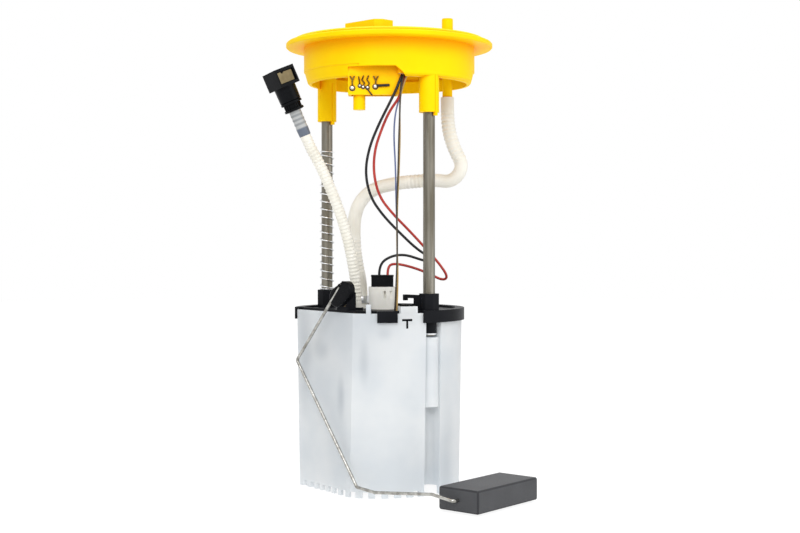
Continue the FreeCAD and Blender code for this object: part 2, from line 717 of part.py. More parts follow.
def make_cover():
    body = new_body("reservoir_cover")
    edge = "pot_top_radius - pot_wall - cover_gap"
    flat = "facet_distance - pot_wall - cover_gap"
    pad(body, flatted_circle(new_sketch(body, height="cover_top - cover_plate"), edge, flat), "cover_plate")
    bead = flatted_circle(new_sketch(body, height="cover_top"), edge, flat)
    flatted_circle(bead, f"{edge} - cover_bead_width", f"{flat} - cover_bead_width")
    pad(body, bead, "cover_bead")
    # skirt over the wall's top edge and down its outside
    skirt = turned_sketch(body, "skirt_start - 90")
    inside, outside = "pot_top_radius + skirt_gap", "pot_top_radius + skirt_gap + skirt_wall"
    outline(skirt, [
        (f"{edge} - 2", "cover_top"), (inside, "cover_top"), (inside, "skirt_low"),
        (outside, "skirt_low"), (outside, "cover_top + cover_bead"), (f"{edge} - 2", "cover_top + cover_bead"),
    ])
    revolve(body, skirt, "skirt_sweep")
    for side in ("", "-"):
        add_tower(body, side)
    # clip tab over the wall, wire hook, transfer nipple
    tab = turned_sketch(body, "tab_angle", "pot_top_radius + skirt_gap + skirt_wall")
    rectangle(tab, "-tab_width / 2", "tab_width / 2", "tab_low", "cover_top + cover_bead")
    pad(body, tab, "skirt_wall", down=True)
    strap = new_sketch(body, height="cover_top")
    radial_rectangle(strap, "tab_angle", f"{edge} - 3", "pot_top_radius + skirt_gap", "tab_width")
    pad(body, strap, "cover_bead")
    add_wire_hook(body)
    nipple = circle(new_sketch(body, height="cover_top"), "nipple_radius", "nipple_x", "nipple_y")
    pad(body, nipple, "nipple_height")
    cut_cover_openings(body)


def add_wire_hook(body):
    """Post with an arm towards the pump, and a lip that points down at its end."""
    back, end = "hook_y + hook_depth", "hook_x - hook_reach"
    post = rectangle(new_sketch(body, height="cover_top"), "hook_x", "hook_x + hook_width", "hook_y", back)
    pad(body, post, "hook_rise")
    under = "cover_top + hook_rise"
    arm = rectangle(new_sketch(body, height=under), end, "hook_x + hook_width", "hook_y", back)
    pad(body, arm, "hook_arm")
    lip = rectangle(new_sketch(body, height=under), end, f"{end} + hook_lip_width", "hook_y", back)
    pad(body, lip, "hook_lip", down=True)


def add_tower(body, side):
    """Eight-sided tower on the plate, with the bush that runs down into the pot's channel."""
    middle = f"{side}rod_x"
    block = new_sketch(body, height="cover_top")
    bevelled(block, f"{middle} - tower_width / 2", f"{middle} + tower_width / 2",
             "rod_y - tower_width / 2", "rod_y + tower_width / 2", "tower_width / (2 + sqrt(2))")
    pad(body, block, "tower_top - cover_top")
    bush = circle(new_sketch(body, height="bush_low"), "bush_radius", middle, "rod_y")
    pad(body, bush, "cover_top - bush_low")


def cut_cover_openings(body):
    holes = new_sketch(body, height="tower_top")
    for side in ("", "-"):
        circle(holes, "rod_radius + rod_clearance", f"{side}rod_x", "rod_y")
    circle(holes, "nipple_bore", "nipple_x", "nipple_y")
    pocket(body, holes)
    head = circle(new_sketch(body, height="tower_top"), "head_radius + opening_play", "head_x", "head_y")
    pocket(body, head)
    outlet = circle(new_sketch(body, height="tower_top"), "outlet_radius + opening_play", "outlet_x", "outlet_y")
    pocket(body, outlet)
    vent = new_sketch(body, height="tower_top")
    radial_rectangle(vent, "vent_angle", "vent_inner - cover_gap", "pot_top_radius + 6", "vent_width + 2 * cover_gap")
    pocket(body, vent, "tower_top - cover_top + cover_plate + 8")
    post = new_sketch(body, height="tower_top")
    radial_rectangle(post, "post_angle", "pot_top_radius - pot_wall - 1 - cover_gap", "pot_top_radius + 6",
                     "post_width + 2 * cover_gap")
    pocket(body, post, "tower_top - cover_top + cover_plate + 8")


# Guide rods, clips and the spring

def make_rods():
    """Two rods: each has a clip just under its bush, which stops it on its way up."""
    groove = "(bush_low - clip_thickness - 2 * clip_play)"
    low = f"({groove} - rod_tip)"
    neck = "rod_radius - rod_groove_depth"
    for side, sign in (("right", ""), ("left", "-")):
        turned(f"guide_rod_{side}", [
            ("0", low),
            ("rod_radius - rod_bevel", low),
            ("rod_radius", f"{low} + rod_bevel"),
            ("rod_radius", groove),
            (neck, groove),
            (neck, "bush_low"),
            ("rod_radius", "bush_low"),
            ("rod_radius", "rod_seat - rod_bevel"),
            ("rod_radius - rod_bevel", "rod_seat"),
            ("0", "rod_seat"),
        ], f"{sign}rod_x", "rod_y")
        ring = tube("clip_radius", f"{neck} + clip_play", "clip_thickness",
                    f"{sign}rod_x", "rod_y", f"{groove} + clip_play")
        mouth = box("clip_gap", "clip_radius", "clip_thickness",
                    f"{sign}rod_x - clip_gap / 2", "rod_y", f"{groove} + clip_play")
        keep(f"rod_clip_{side}", cut(ring, [mouth]))


def make_spring():
    helix = document.addObject("Part::Helix", "Coil")
    bind(helix, "Pitch", "spring_pitch")
    bind(helix, "Height", "spring_height - spring_wire")
    bind(helix, "Radius", "spring_radius")
    # the wire is drawn four-sided, which keeps the long coil light
    section = document.addObject("Part::RegularPolygon", "WireSection")
    section.Polygon = 4
    bind(section, "Circumradius", "spring_wire / 2")
    section.Placement = Placement(Vector(), Rotation(Vector(1, 0, 0), 90))
    bind(section, "Placement.Base.x", "spring_radius")
    coil = document.addObject("Part::Sweep", "Spring")
    coil.Sections = [section]
    coil.Spine = (helix, [])
    coil.Solid = True
    coil.Frenet = True
    place(coil, "-rod_x", "rod_y", "tower_top + spring_wire / 2")
    keep("return_spring", coil)


# The pump and its motor

def make_pump():
    bore = "can_radius - can_wall"
    turned("pump_can", [
        (bore, "can_low + 1"), ("can_radius - 2.6", "can_low"), ("can_radius - 1.2", "can_low"),
        ("can_radius", "can_low + 1.4"),
        ("can_radius", "can_high - 1.4"), ("can_radius - 1.2", "can_high"),
        ("can_radius - 2.6", "can_high"), (bore, "can_high - 1"),
    ], "pump_x", "pump_y")
    turned("pump_inlet_cap", [
        ("shaft_radius + motor_play", "can_low - 2"),
        ("spout_radius - 1.4", "can_low - 4"),
        ("spout_radius - 1.4", "inlet_low"),
        ("spout_radius", "inlet_low"),
        ("spout_radius", "can_low - 6"),
        ("can_radius - 3", "can_low - 4"),
        ("can_radius - 3", "can_low + 1.2"),
        (f"{bore} - 0.1", "can_low + 1.2"),
        (f"{bore} - 0.1", "impeller_low - 0.3"),
        ("shaft_radius + motor_play", "impeller_low - 0.3"),
    ], "pump_x", "pump_y")
    make_end_cap(bore)
    make_rotor()
    make_magnets(bore)
    make_brushes()
    make_plug()


def make_plug():
    """Plug on the electrical tower, its wide side turned to the front right."""
    plug = box("plug_width", "plug_depth", "plug_top - head_top")
    bind(plug, "Placement.Rotation.Angle", "45")
    place(plug, "head_x - (plug_width - plug_depth) / 2 * cos(45)",
          "head_y - (plug_width + plug_depth) / 2 * cos(45)", "head_top")
    keep("pump_plug", rounded(plug, "plug_edge", lambda edge: abs(edge.tangentAt(0).z) > 0.9))


def make_end_cap(bore):
    """Upper end cap: seated in the can, with the electrical tower and the outlet nipple."""
    body = new_body("pump_end_cap")
    disc = circle(new_sketch(body, height="can_high - 3"), "can_radius - 2.8", "pump_x", "pump_y")
    pad(body, disc, "cap_high - can_high + 3")
    seat = circle(new_sketch(body, height="can_high - cap_seat"), f"{bore} - 0.1", "pump_x", "pump_y")
    pad(body, seat, "cap_seat - 1.4")
    tower = circle(new_sketch(body, height="cap_high"), "head_radius", "head_x", "head_y")
    pad(body, tower, "head_top - cap_high")
    outlet = circle(new_sketch(body, height="cap_high"), "outlet_radius", "outlet_x", "outlet_y")
    pad(body, outlet, "outlet_top - cap_high")
    bores = new_sketch(body, height="outlet_top")
    circle(bores, "outlet_bore", "outlet_x", "outlet_y")
    pocket(body, bores)
    bearing = circle(new_sketch(body, height="can_high - cap_seat"), "shaft_radius + motor_play",
                     "pump_x", "pump_y")
    pocket(body, bearing, "cap_seat + 1", up=True)
    # two contact slots that face the front
    slots = turned_sketch(body, "-45", "head_radius + 8")
    shift = "(head_x + head_y) * cos(45)"
    for middle in ("slot_first", "slot_second"):
        rectangle(slots, f"{shift} + {middle} - slot_width / 2", f"{shift} + {middle} + slot_width / 2",
                  "head_top - slot_drop - slot_height", "head_top - slot_drop")
    pocket(body, slots, "head_radius + 8 - slot_floor + (head_y - head_x) * cos(45)")


def make_rotor():
    core = "core_radius"
    turned("armature", [
        ("0", "can_low - 1"), ("shaft_radius", "can_low - 1"),
        ("shaft_radius", "magnet_low - 2"), ("4", "magnet_low - 2"), ("4", "magnet_low"),
        (core, "magnet_low"), (core, "magnet_high - 4"),
        ("core_radius - 4", "magnet_high"), ("commutator_radius - 2", "magnet_high"),
        ("commutator_radius - 2", "magnet_high + 1.5"), ("commutator_radius", "magnet_high + 1.5"),
        ("commutator_radius", "can_high - 8"), ("shaft_radius", "can_high - 8"),
        ("shaft_radius", "can_high"), ("0", "can_high"),
    ], "pump_x", "pump_y")
    body = new_body("impeller", "pump_x", "pump_y")
    disc = new_sketch(body, height="impeller_low")
    circle(disc, "impeller_radius")
    circle(disc, "shaft_radius + motor_play")
    pad(body, disc, "impeller_height")
    gap = new_sketch(body, height="impeller_low + impeller_height")
    rectangle(gap, "impeller_radius - 3.4", "impeller_radius + 1", "-0.9", "0.9")
    polar(body, pocket(body, gap, "impeller_height"), "vane_count")


def make_magnets(bore):
    ring = tube(f"{bore} - 0.05", f"{bore} - magnet_wall", "magnet_high - magnet_low",
                "pump_x", "pump_y", "magnet_low")
    gap = box("2 * can_radius", "magnet_gap", "magnet_high - magnet_low",
              "pump_x - can_radius", "pump_y - magnet_gap / 2", "magnet_low")
    keep("motor_magnets", cut(ring, [gap]))


def make_brushes():
    """Two carbon blocks beside the commutator, under the end cap's spigot."""
    near = "(commutator_radius + brush_gap)"
    brushes = document.addObject("Part::Compound", "Brushes")
    brushes.Links = [
        box("brush_length", "brush_width", "brush_height", start, "pump_y - brush_width / 2",
            "can_high - cap_seat - brush_height")
        for start in (f"pump_x + {near}", f"pump_x - {near} - brush_length")
    ]
    keep("motor_brushes", brushes)


def make_holder():
    """Cage that carries the pump by two rubber rings, with the strainer in its foot."""
    inside = "can_radius + isolator_wall + 0.1"
    outside = "can_radius + isolator_wall + 0.1 + holder_wall"
    floor = "foot_height + pot_wall"
    body = new_body("pump_holder", "pump_x", "pump_y")
    revolve(body, outline(new_sketch(body, "XZ_Plane"), [
        (inside, floor), (f"{outside} + 2", floor), (f"{outside} + 2", f"{floor} + 1.6"),
        (outside, f"{floor} + 1.6"), (outside, "holder_high"), ("can_radius + 0.6", "holder_high"),
        ("can_radius + 0.6", "holder_high - 1.4"), (inside, "holder_high - 1.4"),
        (inside, "can_low + 0.2"), ("can_radius - 2.5", "can_low - 0.1"), ("can_radius - 2.5", "can_low - 1.6"),
        (inside, "can_low - 1.6"),
    ]))
    window = new_sketch(body, height="can_low + isolator_height + 4")
    rectangle(window, "can_radius - 2", "can_radius + 12", "-6.5", "6.5")
    opening = pocket(body, window, "holder_high - can_low - 2 * isolator_height - 10", up=True)
    polar(body, opening, "4")
    inlet = new_sketch(body, height=f"{floor}")
    rectangle(inlet, "can_radius - 2", "can_radius + 12", "-5", "5")
    polar(body, pocket(body, inlet, "strainer_height", up=True), "3")
    for label, low in (("isolator_lower", "can_low + 1.5"),
                       ("isolator_upper", "holder_high - 1.5 - isolator_height")):
        keep(label, tube("can_radius + isolator_wall", "can_radius + 0.05", "isolator_height",
                         "pump_x", "pump_y", low))
    turned("suction_strainer", [
        ("0", f"{floor} + 0.1"), ("can_radius - 2", f"{floor} + 0.1"), ("can_radius", f"{floor} + 1.5"),
        ("can_radius", f"{floor} + strainer_height - 1.5"), ("can_radius - 2", f"{floor} + strainer_height"),
        ("spout_radius + 1.2", f"{floor} + strainer_height"), ("spout_radius + 1.2", "inlet_low"),
        ("0", "inlet_low"),
    ], "pump_x", "pump_y")


def lying_cylinder(direction, radius, length, x, y, z):
    """Cylinder whose axis runs along the direction from the point given."""
    solid = document.addObject("Part::Cylinder", "LyingCylinder")
    solid.Placement = Placement(Vector(), Rotation(Vector(0, 0, 1), direction))
    bind(solid, "Radius", radius)
    bind(solid, "Height", length)
    return place(solid, x, y, z)


def make_jet_pump():
    """Jet pump on the pot's floor and the pipe that feeds it from the transfer nipple."""
    floor = "foot_height + pot_wall"
    axis = f"{floor} + jet_height"
    pipe = "nipple_bore + pipe_wall"
    sideways = Vector(1, 0, 0)
    foot = box("jet_foot", "jet_foot", "jet_height", "nipple_x - jet_foot / 2", "nipple_y - jet_foot / 2", floor)
    barrel = lying_cylinder(sideways, "jet_radius", "jet_length", "nipple_x - 2 * jet_radius", "nipple_y", axis)
    neck = cylinder(pipe, "jet_radius + jet_neck", "nipple_x", "nipple_y", axis)
    throat = lying_cylinder(sideways, "jet_throat", "jet_length", "nipple_x + jet_radius", "nipple_y", axis)
    keep("jet_pump", cut(fuse([foot, barrel, neck]), [throat]))
    low = f"{axis} + jet_radius + jet_neck"
    keep("transfer_pipe", tube(pipe, "nipple_bore", f"cover_top - cover_plate - ({low})",
                               "nipple_x", "nipple_y", low))


# The yellow tank flange

def make_flange():
    body = new_body("flange", "0", "flange_y", "0")
    top = "rim_low + rim_thickness"
    crown = f"{top} + plateau_height"
    under = f"{crown} - plate_thickness"
    bore = "spigot_radius - spigot_wall"
    revolve(body, outline(new_sketch(body, "XZ_Plane"), [
        ("0", crown), ("plateau_radius - 1.6", crown), ("plateau_radius", f"{crown} - 1.2"),
        ("plateau_radius", top), ("rim_radius - 0.8", top), ("rim_radius", f"{top} - 0.9"),
        ("rim_radius", "rim_low + 0.6"), ("rim_radius - 0.6", "rim_low"), ("spigot_radius", "rim_low"),
        ("spigot_radius", "spigot_low"), ("spigot_radius - 0.7", "spigot_low - 0.5"),
        ("step_radius", "step_low + 1"), ("step_radius - 1", "step_low"),
        ("step_radius - spigot_wall", "step_low"), ("step_radius - spigot_wall", "spigot_low"),
        (bore, "spigot_low + 2"), (bore, under), ("0", under),
    ]))
    full = turned_sketch(body, "full_start - 90")
    outline(full, [
        ("step_radius - spigot_wall", "step_low + 0.8"), ("spigot_radius - 0.8", "step_low + 0.8"),
        ("spigot_radius", "step_low + 1.8"), ("spigot_radius", "spigot_low + 1"),
        ("step_radius - spigot_wall", "spigot_low + 1"),
    ])
    revolve(body, full, "full_sweep")
    # opening in front of the terminal carrier, then the carrier with its peg
    along = "(carrier_x + carrier_y - flange_y) * cos(45)"
    reach = "(carrier_x - carrier_y + flange_y) * cos(45)"
    front = f"{reach} + carrier_depth / 2"
    bay = turned_sketch(body, "-45", "spigot_radius + 2")
    left, right = f"{along} - carrier_width / 2", f"{along} + carrier_width / 2"
    outline(bay, [(left, "step_low - 2"), (f"{right} + 6", "step_low - 2"), (f"{right} + 2.6", "bay_top - 4"),
                  (f"{right} - 2", "bay_top"), (left, "bay_top")])
    pocket(body, bay, f"spigot_radius + 2 - ({reach})")
    carrier = turned_sketch(body, "-45", front)
    rectangle(carrier, left, right, "carrier_low", under)
    pad(body, carrier, "carrier_depth", down=True)
    hollow = turned_sketch(body, "-45", f"{reach} + carrier_depth / 2 - 2.2")
    rectangle(hollow, f"{left} + 2", f"{right} - 2", "carrier_low - 1", f"{under}")
    pocket(body, hollow, "carrier_depth - 4.2")
    peg_x = "carrier_x - peg_shift * cos(45)"
    peg_y = "carrier_y - peg_shift * cos(45) - flange_y"
    pad(body, circle(new_sketch(body, height="peg_low"), "peg_radius", peg_x, peg_y), f"{under} - peg_low")
    for side in ("", "-"):
        add_socket(body, side, under)
    add_ribs(body, under)
    guide = new_sketch(body, height="guide_low")
    radial_rectangle(guide, "guide_angle", "step_radius - spigot_wall - guide_depth",
                     "step_radius - spigot_wall + 1", "guide_width")
    pad(body, guide, "spigot_low - guide_low")
    add_shroud(body, crown)
    add_port(body, crown, under)
    sockets = new_sketch(body, height="socket_low")
    for side in ("", "-"):
        circle(sockets, "rod_radius", f"{side}rod_x", "rod_y - flange_y")
    pocket(body, sockets, "rod_seat - socket_low", up=True)


def add_socket(body, side, under):
    """Round socket for a rod, with the small rib on its +X side."""
    middle = f"{side}rod_x"
    post = circle(new_sketch(body, height="socket_low"), "socket_radius", middle, "rod_y - flange_y")
    pad(body, post, f"{under} - socket_low")
    rib = new_sketch(body, height="socket_low - socket_rib_drop")
    start, end = f"{middle} + rod_radius + 1", f"{middle} + socket_radius + socket_rib_proud"
    low, high = "rod_y - flange_y - 1", "rod_y - flange_y + 1"
    outline(rib, [(start, low), (end, low), (end, high), (start, high)])
    pad(body, rib, "step_low - socket_low + 6")


def add_ribs(body, under):
    """Ribs under the top plate, from a ring in the middle to the spigot."""
    rib = new_sketch(body, height="rib_low")
    rectangle(rib, "hub_radius - rib_thickness / 2", "spigot_radius - 1", "-rib_thickness / 2", "rib_thickness / 2")
    polar(body, pad(body, rib, f"{under} - rib_low"), "8")
    hub = circle(new_sketch(body, height="rib_low"), "hub_radius")
    circle(hub, "hub_radius - rib_thickness")
    pad(body, hub, f"{under} - rib_low")


def add_shroud(body, crown):
    """Shroud of the electrical connector on top, open upwards."""
    outer = new_sketch(body, height=crown)
    bevelled(outer, "shroud_left", "shroud_right", "shroud_front - flange_y", "shroud_back - flange_y",
             "shroud_corner")
    pad(body, outer, f"shroud_top - ({crown})")
    inner = new_sketch(body, height="shroud_top")
    bevelled(inner, "shroud_left + shroud_wall", "shroud_right - shroud_wall",
             "shroud_front - flange_y + shroud_wall", "shroud_back - flange_y - shroud_wall",
             "shroud_corner - shroud_wall / 2")
    pocket(body, inner, f"shroud_top - ({crown}) - shroud_floor")


def add_port(body, crown, under):
    """Supply port above the plate and its hose nipple below, with one bore through both."""
    y = "port_y - flange_y"
    pad(body, circle(new_sketch(body, height=crown), "port_base_radius", "port_x", y), "port_base_height")
    tongue = new_sketch(body, height=crown)
    near, far = "port_base_radius * cos(45)", "port_tongue * cos(45)"
    outline(tongue, [
        (f"port_x - {near}", f"{y} + {near}"), (f"port_x - {far} - 3", f"{y} - {far} + 3"),
        (f"port_x - {far} + 3", f"{y} - {far} - 3"), (f"port_x + {near}", f"{y} - {near}"),
    ])
    pad(body, tongue, "port_base_height")
    pad(body, circle(new_sketch(body, height=crown), "port_radius", "port_x", y),
        f"port_top - port_bevel - ({crown})")
    pad(body, circle(new_sketch(body, height="port_top - port_bevel"), "port_radius - port_bevel / 2", "port_x", y),
        "port_bevel")
    nipple = circle(new_sketch(body, height="port_nipple_low"), "port_nipple_radius", "port_x", y)
    pad(body, nipple, f"{under} - port_nipple_low")
    bore = circle(new_sketch(body, height="port_top"), "port_bore", "port_x", y)
    pocket(body, bore)


def make_terminals():
    """Pins in a row: each stands in the shroud and comes out at the carrier's face."""
    pins = []
    for i in range(round(size("pin_count"))):
        shift = f"({i} - (pin_count - 1) / 2) * pin_pitch"
        crown = "rim_low + rim_thickness + plateau_height"
        x = f"(shroud_left + shroud_right) / 2 + {shift}"
        y = "(shroud_front + shroud_back) / 2"
        pins.append(box("pin_width", "pin_thickness", "7",
                        f"{x} - pin_width / 2", f"{y} - pin_thickness / 2", f"{crown} + 0.5"))
        # at the carrier the row runs along its face, which is turned by 45 degrees
        along = f"({shift}) * cos(45)"
        face = "carrier_depth / 2 * cos(45)"
        blade = box("1.4", "pin_width", "6.5")
        bind(blade, "Placement.Rotation.Angle", "-45")
        place(blade, f"carrier_x + {along} + {face} - pin_width / 2 * cos(45)",
              f"carrier_y + {along} - {face} - pin_width / 2 * cos(45)", "carrier_low + 8")
        pins.append(blade)
    group = document.addObject("Part::Compound", "Pins")
    group.Links = pins
    keep("flange_terminals", group)


# Level sender

SENDER_FACE = "(-facet_distance - sender_proud)"
HOLDER_BACK = f"({SENDER_FACE} - card_gap)"
HOLDER_FRONT = f"({HOLDER_BACK} - holder_thickness)"
PIN_END = f"({HOLDER_FRONT} + groove_depth + pin_gap)"
BACKWARDS = Vector(0, 1, 0)


def make_sender():
    left = "pivot_x - sender_width / 2"
    foot = "cover_top + cover_bead"
    block = box("sender_width", "sender_depth", f"sender_top - ({foot})", left, SENDER_FACE, foot)
    seat = box("sender_width - 4", "seat_depth", "cover_bead",
               f"{left} + 2", f"{SENDER_FACE} + sender_depth - seat_depth", "cover_top")
    card_size = ("sender_width - 2", "card_thickness", "sender_top - cover_top - 6",
                 f"{left} + 1", SENDER_FACE, "cover_top + 4")
    hole = lying_cylinder(BACKWARDS, "pivot_pin_radius", "sender_depth", "pivot_x", SENDER_FACE, "pivot_z")
    keep("sender_housing", cut(fuse([block, seat]), [box(*card_size), hole]))
    card_hole = lying_cylinder(BACKWARDS, "pivot_pin_radius + 0.6", "sender_depth", "pivot_x", SENDER_FACE, "pivot_z")
    keep("resistor_card", cut(box(*card_size), [card_hole]))
    keep("pivot_pin", lying_cylinder(BACKWARDS, "pivot_pin_radius", f"{SENDER_FACE} + sender_depth - {PIN_END}",
                                     "pivot_x", PIN_END, "pivot_z"))
    make_arm_holder()
    keep("wiper", box("wiper_length", "card_gap - 0.1", "wiper_height",
                      "pivot_x - 1", HOLDER_BACK, "pivot_z - wiper_drop"))


def soften_front(body, radius):
    """Fillet on the edges that lie in the body's own XZ plane."""
    document.recompute()
    tip = body.Tip
    flat = [i for i, edge in enumerate(tip.Shape.Edges) if edge.BoundBox.YMax < 0.01]
    soft = body.newObject("PartDesign::Fillet", "Fillet")
    soft.Base = (tip, [f"Edge{i + 1}" for i in flat])
    bind(soft, "Radius", radius)
    body.Tip = soft


def make_arm_holder():
    """Lever from the pivot to the arm's clip, with the groove that holds the arm's wire."""
    body = new_body("arm_holder", "0", HOLDER_FRONT, "0")
    for radius, x, z in (("holder_radius", "pivot_x", "pivot_z"), ("holder_end_radius", "holder_end_x", "holder_end_z")):
        pad(body, circle(new_sketch(body, "XZ_Plane"), radius, x, z), "holder_thickness", down=True)
    lever = new_sketch(body, "XZ_Plane")
    turn = "atan2(holder_end_z - pivot_z; holder_end_x - pivot_x)"
    outline(lever, [
        (f"pivot_x + holder_radius * sin({turn})", f"pivot_z - holder_radius * cos({turn})"),
        (f"holder_end_x + holder_end_radius * sin({turn})", f"holder_end_z - holder_end_radius * cos({turn})"),
        (f"holder_end_x - holder_end_radius * sin({turn})", f"holder_end_z + holder_end_radius * cos({turn})"),
        (f"pivot_x - holder_radius * sin({turn})", f"pivot_z + holder_radius * cos({turn})"),
    ])
    pad(body, lever, "holder_thickness", down=True)
    soften_front(body, "holder_edge")
    bore = circle(new_sketch(body, "XZ_Plane", "-holder_thickness"), "pivot_pin_radius + motor_play",
                  "pivot_x", "pivot_z")
    pocket(body, bore, "holder_thickness - groove_depth - pin_gap + 0.05", up=True)
    # groove for the wire, open to the front: it starts at the wire's end and follows its first run
    (x, z), (next_x, next_z) = ARM_CORNERS[:2]
    slope = math.atan2(next_z - z, next_x - x)
    groove = new_sketch(body, "XZ_Plane")
    corners = []
    for reach, side in ((f"{-ARM_END_PLAY}", "+"), (f"{-ARM_END_PLAY}", "-"), ("groove_length", "-"),
                        ("groove_length", "+")):
        corners.append((
            f"pivot_x + {x} + {math.cos(slope):.6f} * {reach} {side} {-math.sin(slope):.6f} * arm_radius",
            f"pivot_z + {z} + {math.sin(slope):.6f} * {reach} {side} {math.cos(slope):.6f} * arm_radius",
        ))
    outline(groove, corners)
    pocket(body, groove, "groove_depth")


# The arm's corners (x, z) from the pivot, in the arm's plane, then the one that leaves that plane, as
# (x, y, z) from the float's end face
ARM_CORNERS = [(4.6, 9.1), (-40.5, -44.2), (19.4, -123.6), (36.1, -124.9)]
ARM_TAIL = (-15.8, -7.0, 2.6)
ARM_END_PLAY = 0.02


def float_axis():
    turn = math.radians(size("float_turn"))
    return Vector(-math.sin(turn), math.cos(turn), 0)


def make_arm():
    plane = (-size("facet_distance") - size("sender_proud") - size("card_gap") - size("holder_thickness")
             + size("groove_depth") - size("arm_radius"))
    middle = Vector(size("float_x"), size("float_y"), size("float_z"))
    entry = middle - float_axis() * (size("float_length") / 2)
    tip = entry + float_axis() * (size("float_bore_depth") - 1)
    bend = entry - float_axis() * size("arm_stub")
    points = [(size("pivot_x") + x, plane, size("pivot_z") + z) for x, z in ARM_CORNERS]
    points += [tuple(entry + Vector(*ARM_TAIL)), tuple(bend), tuple(tip)]
    rod_along("float_arm", points, size("arm_radius"), size("arm_bend"))


def make_float():
    block = box("float_width", "float_length", "float_height")
    turn = "float_turn"
    bind(block, "Placement.Rotation.Angle", turn)
    place(block,
          f"float_x - float_width / 2 * cos({turn}) + float_length / 2 * sin({turn})",
          f"float_y - float_width / 2 * sin({turn}) - float_length / 2 * cos({turn})",
          "float_z - float_height / 2")
    soft = rounded(block, "float_edge", lambda edge: True)
    bore = lying_cylinder(float_axis(), "arm_radius + float_play", "float_bore_depth",
                          f"float_x + float_length / 2 * sin({turn})",
                          f"float_y - float_length / 2 * cos({turn})", "float_z")
    keep("float", cut(soft, [bore]))


# Hoses, wires and the quick connector. Each route is a list of hand-set points.

OUTLET_HOSE = [
    (26.7, 41.0, 271.4), (26.7, 41.0, 259.5), (27.6, 41.6, 247.0), (30.4, 44.4, 234.6),
    (34.9, 49.0, 222.4), (29.1, 44.1, 211.6), (19.4, 35.1, 213.0), (10.2, 26.6, 212.2),
    (-0.4, 16.4, 210.8), (-13.6, 4.6, 206.6), (-21.9, -2.6, 193.4), (-23.2, -3.4, 173.0),
    (-21.7, -1.9, 153.5), (-19.3, 0.5, 139.0), (-19.3, 0.5, 125.4),
]
TRANSFER_HOSE = [
    (9.0, -30.6, 124.8), (9.0, -30.6, 139.0), (9.2, -34.4, 156.0), (9.3, -39.4, 173.2),
    (8.6, -45.6, 189.6), (7.1, -53.4, 206.6), (5.1, -61.2, 222.4), (4.4, -67.8, 231.4),
]
WIRES = {
    "wire_black": ("power_wire_radius", [
        (42.5, -20.2, 281.0), (41.6, -24.2, 271.6), (37.8, -28.6, 260.0), (31.4, -32.0, 246.5),
        (23.7, -32.8, 232.2), (17.5, -30.6, 216.4), (15.5, -24.1, 200.0), (19.0, -14.8, 187.0),
        (24.6, -4.4, 175.4), (28.6, 7.6, 164.6), (31.0, 19.0, 158.4), (26.4, 25.4, 154.6),
        (17.6, 22.4, 157.0), (9.0, 16.4, 160.4), (1.6, 9.8, 159.4), (-4.6, 4.2, 153.6), (-4.6, 4.2, 146.0),
    ]),
    "wire_red": ("power_wire_radius", [
        (43.7, -17.9, 281.0), (42.6, -20.6, 273.6), (42.6, -22.0, 266.4), (36.0, -25.8, 256.6), (31.1, -28.3, 244.6),
        (24.9, -28.8, 231.0), (20.8, -25.9, 215.6), (19.9, -19.7, 200.0), (23.4, -9.9, 188.2),
        (27.6, 2.2, 176.7), (31.2, 14.4, 164.6), (33.8, 25.4, 154.0), (35.4, 32.6, 144.6),
        (30.0, 32.4, 142.2), (22.0, 27.4, 147.0), (12.6, 19.6, 151.6), (4.0, 11.4, 154.2), (1.2, 6.8, 152.4),
        (1.2, 6.8, 146.0),
    ]),
    "wire_blue": ("signal_wire_radius", [
        (41.2, -18.4, 281.0), (40.6, -19.8, 273.0), (40.6, -20.6, 265.6), (39.8, -24.0, 255.6),
        (39.9, -25.6, 240.4), (41.1, -25.0, 219.7), (42.1, -25.5, 197.0), (42.8, -24.9, 170.5),
        (42.9, -25.8, 146.0), (43.4, -26.7, 122.2),
    ]),
    "wire_tan": ("signal_wire_radius", [
        (45.6, -18.4, 281.0), (43.9, -22.2, 271.0), (44.2, -24.3, 260.2), (45.2, -24.8, 239.6),
        (45.4, -26.0, 216.9), (45.0, -27.2, 193.7), (44.8, -27.6, 168.5), (45.6, -26.9, 145.7),
        (44.4, -27.2, 122.2),
    ]),
    "wire_brown": ("signal_wire_radius", [
        (44.3, -20.4, 281.0), (45.0, -24.4, 270.6), (46.6, -26.2, 259.8), (46.8, -27.6, 238.1),
        (47.4, -28.8, 215.5), (47.0, -30.0, 192.0), (48.0, -30.0, 168.2), (46.4, -29.4, 144.4),
        (43.3, -27.9, 122.2),
    ]),
}


def make_hoses():
    rod_along("outlet_hose", OUTLET_HOSE, size("outlet_hose_radius"))
    start, axis = connector_frame()
    rod_along("transfer_hose", TRANSFER_HOSE + [tuple(start)], size("transfer_hose_radius"))
    keep("hose_clamp", tube("outlet_hose_radius + clamp_wall", "outlet_hose_radius + 0.05", "clamp_width",
                            "outlet_x", "outlet_y", "outlet_top + 0.6"))
    for label, (radius, points) in WIRES.items():
        rod_along(label, points, size(radius))


def connector_frame():
    """Where the sleeve starts on the hose, and the direction of the connector's axis."""
    start = Vector(size("hose_end_x"), size("hose_end_y"), size("hose_end_z"))
    lean = Vector(size("connector_lean_x"), size("connector_lean_y"), size("connector_lean_z"))
    return start, lean.normalize()


def set_on_connector(thing):
    """Stand a shape that was built along +Z on the hose's end, its button facing the front right."""
    start, axis = connector_frame()
    lean = Rotation(Vector(0, 0, 1), axis)
    facing = Rotation(Vector(0, 0, 1), size("button_facing"))
    thing.Placement = Placement(start, lean.multiply(facing))
    return place(thing, "hose_end_x", "hose_end_y", "hose_end_z")


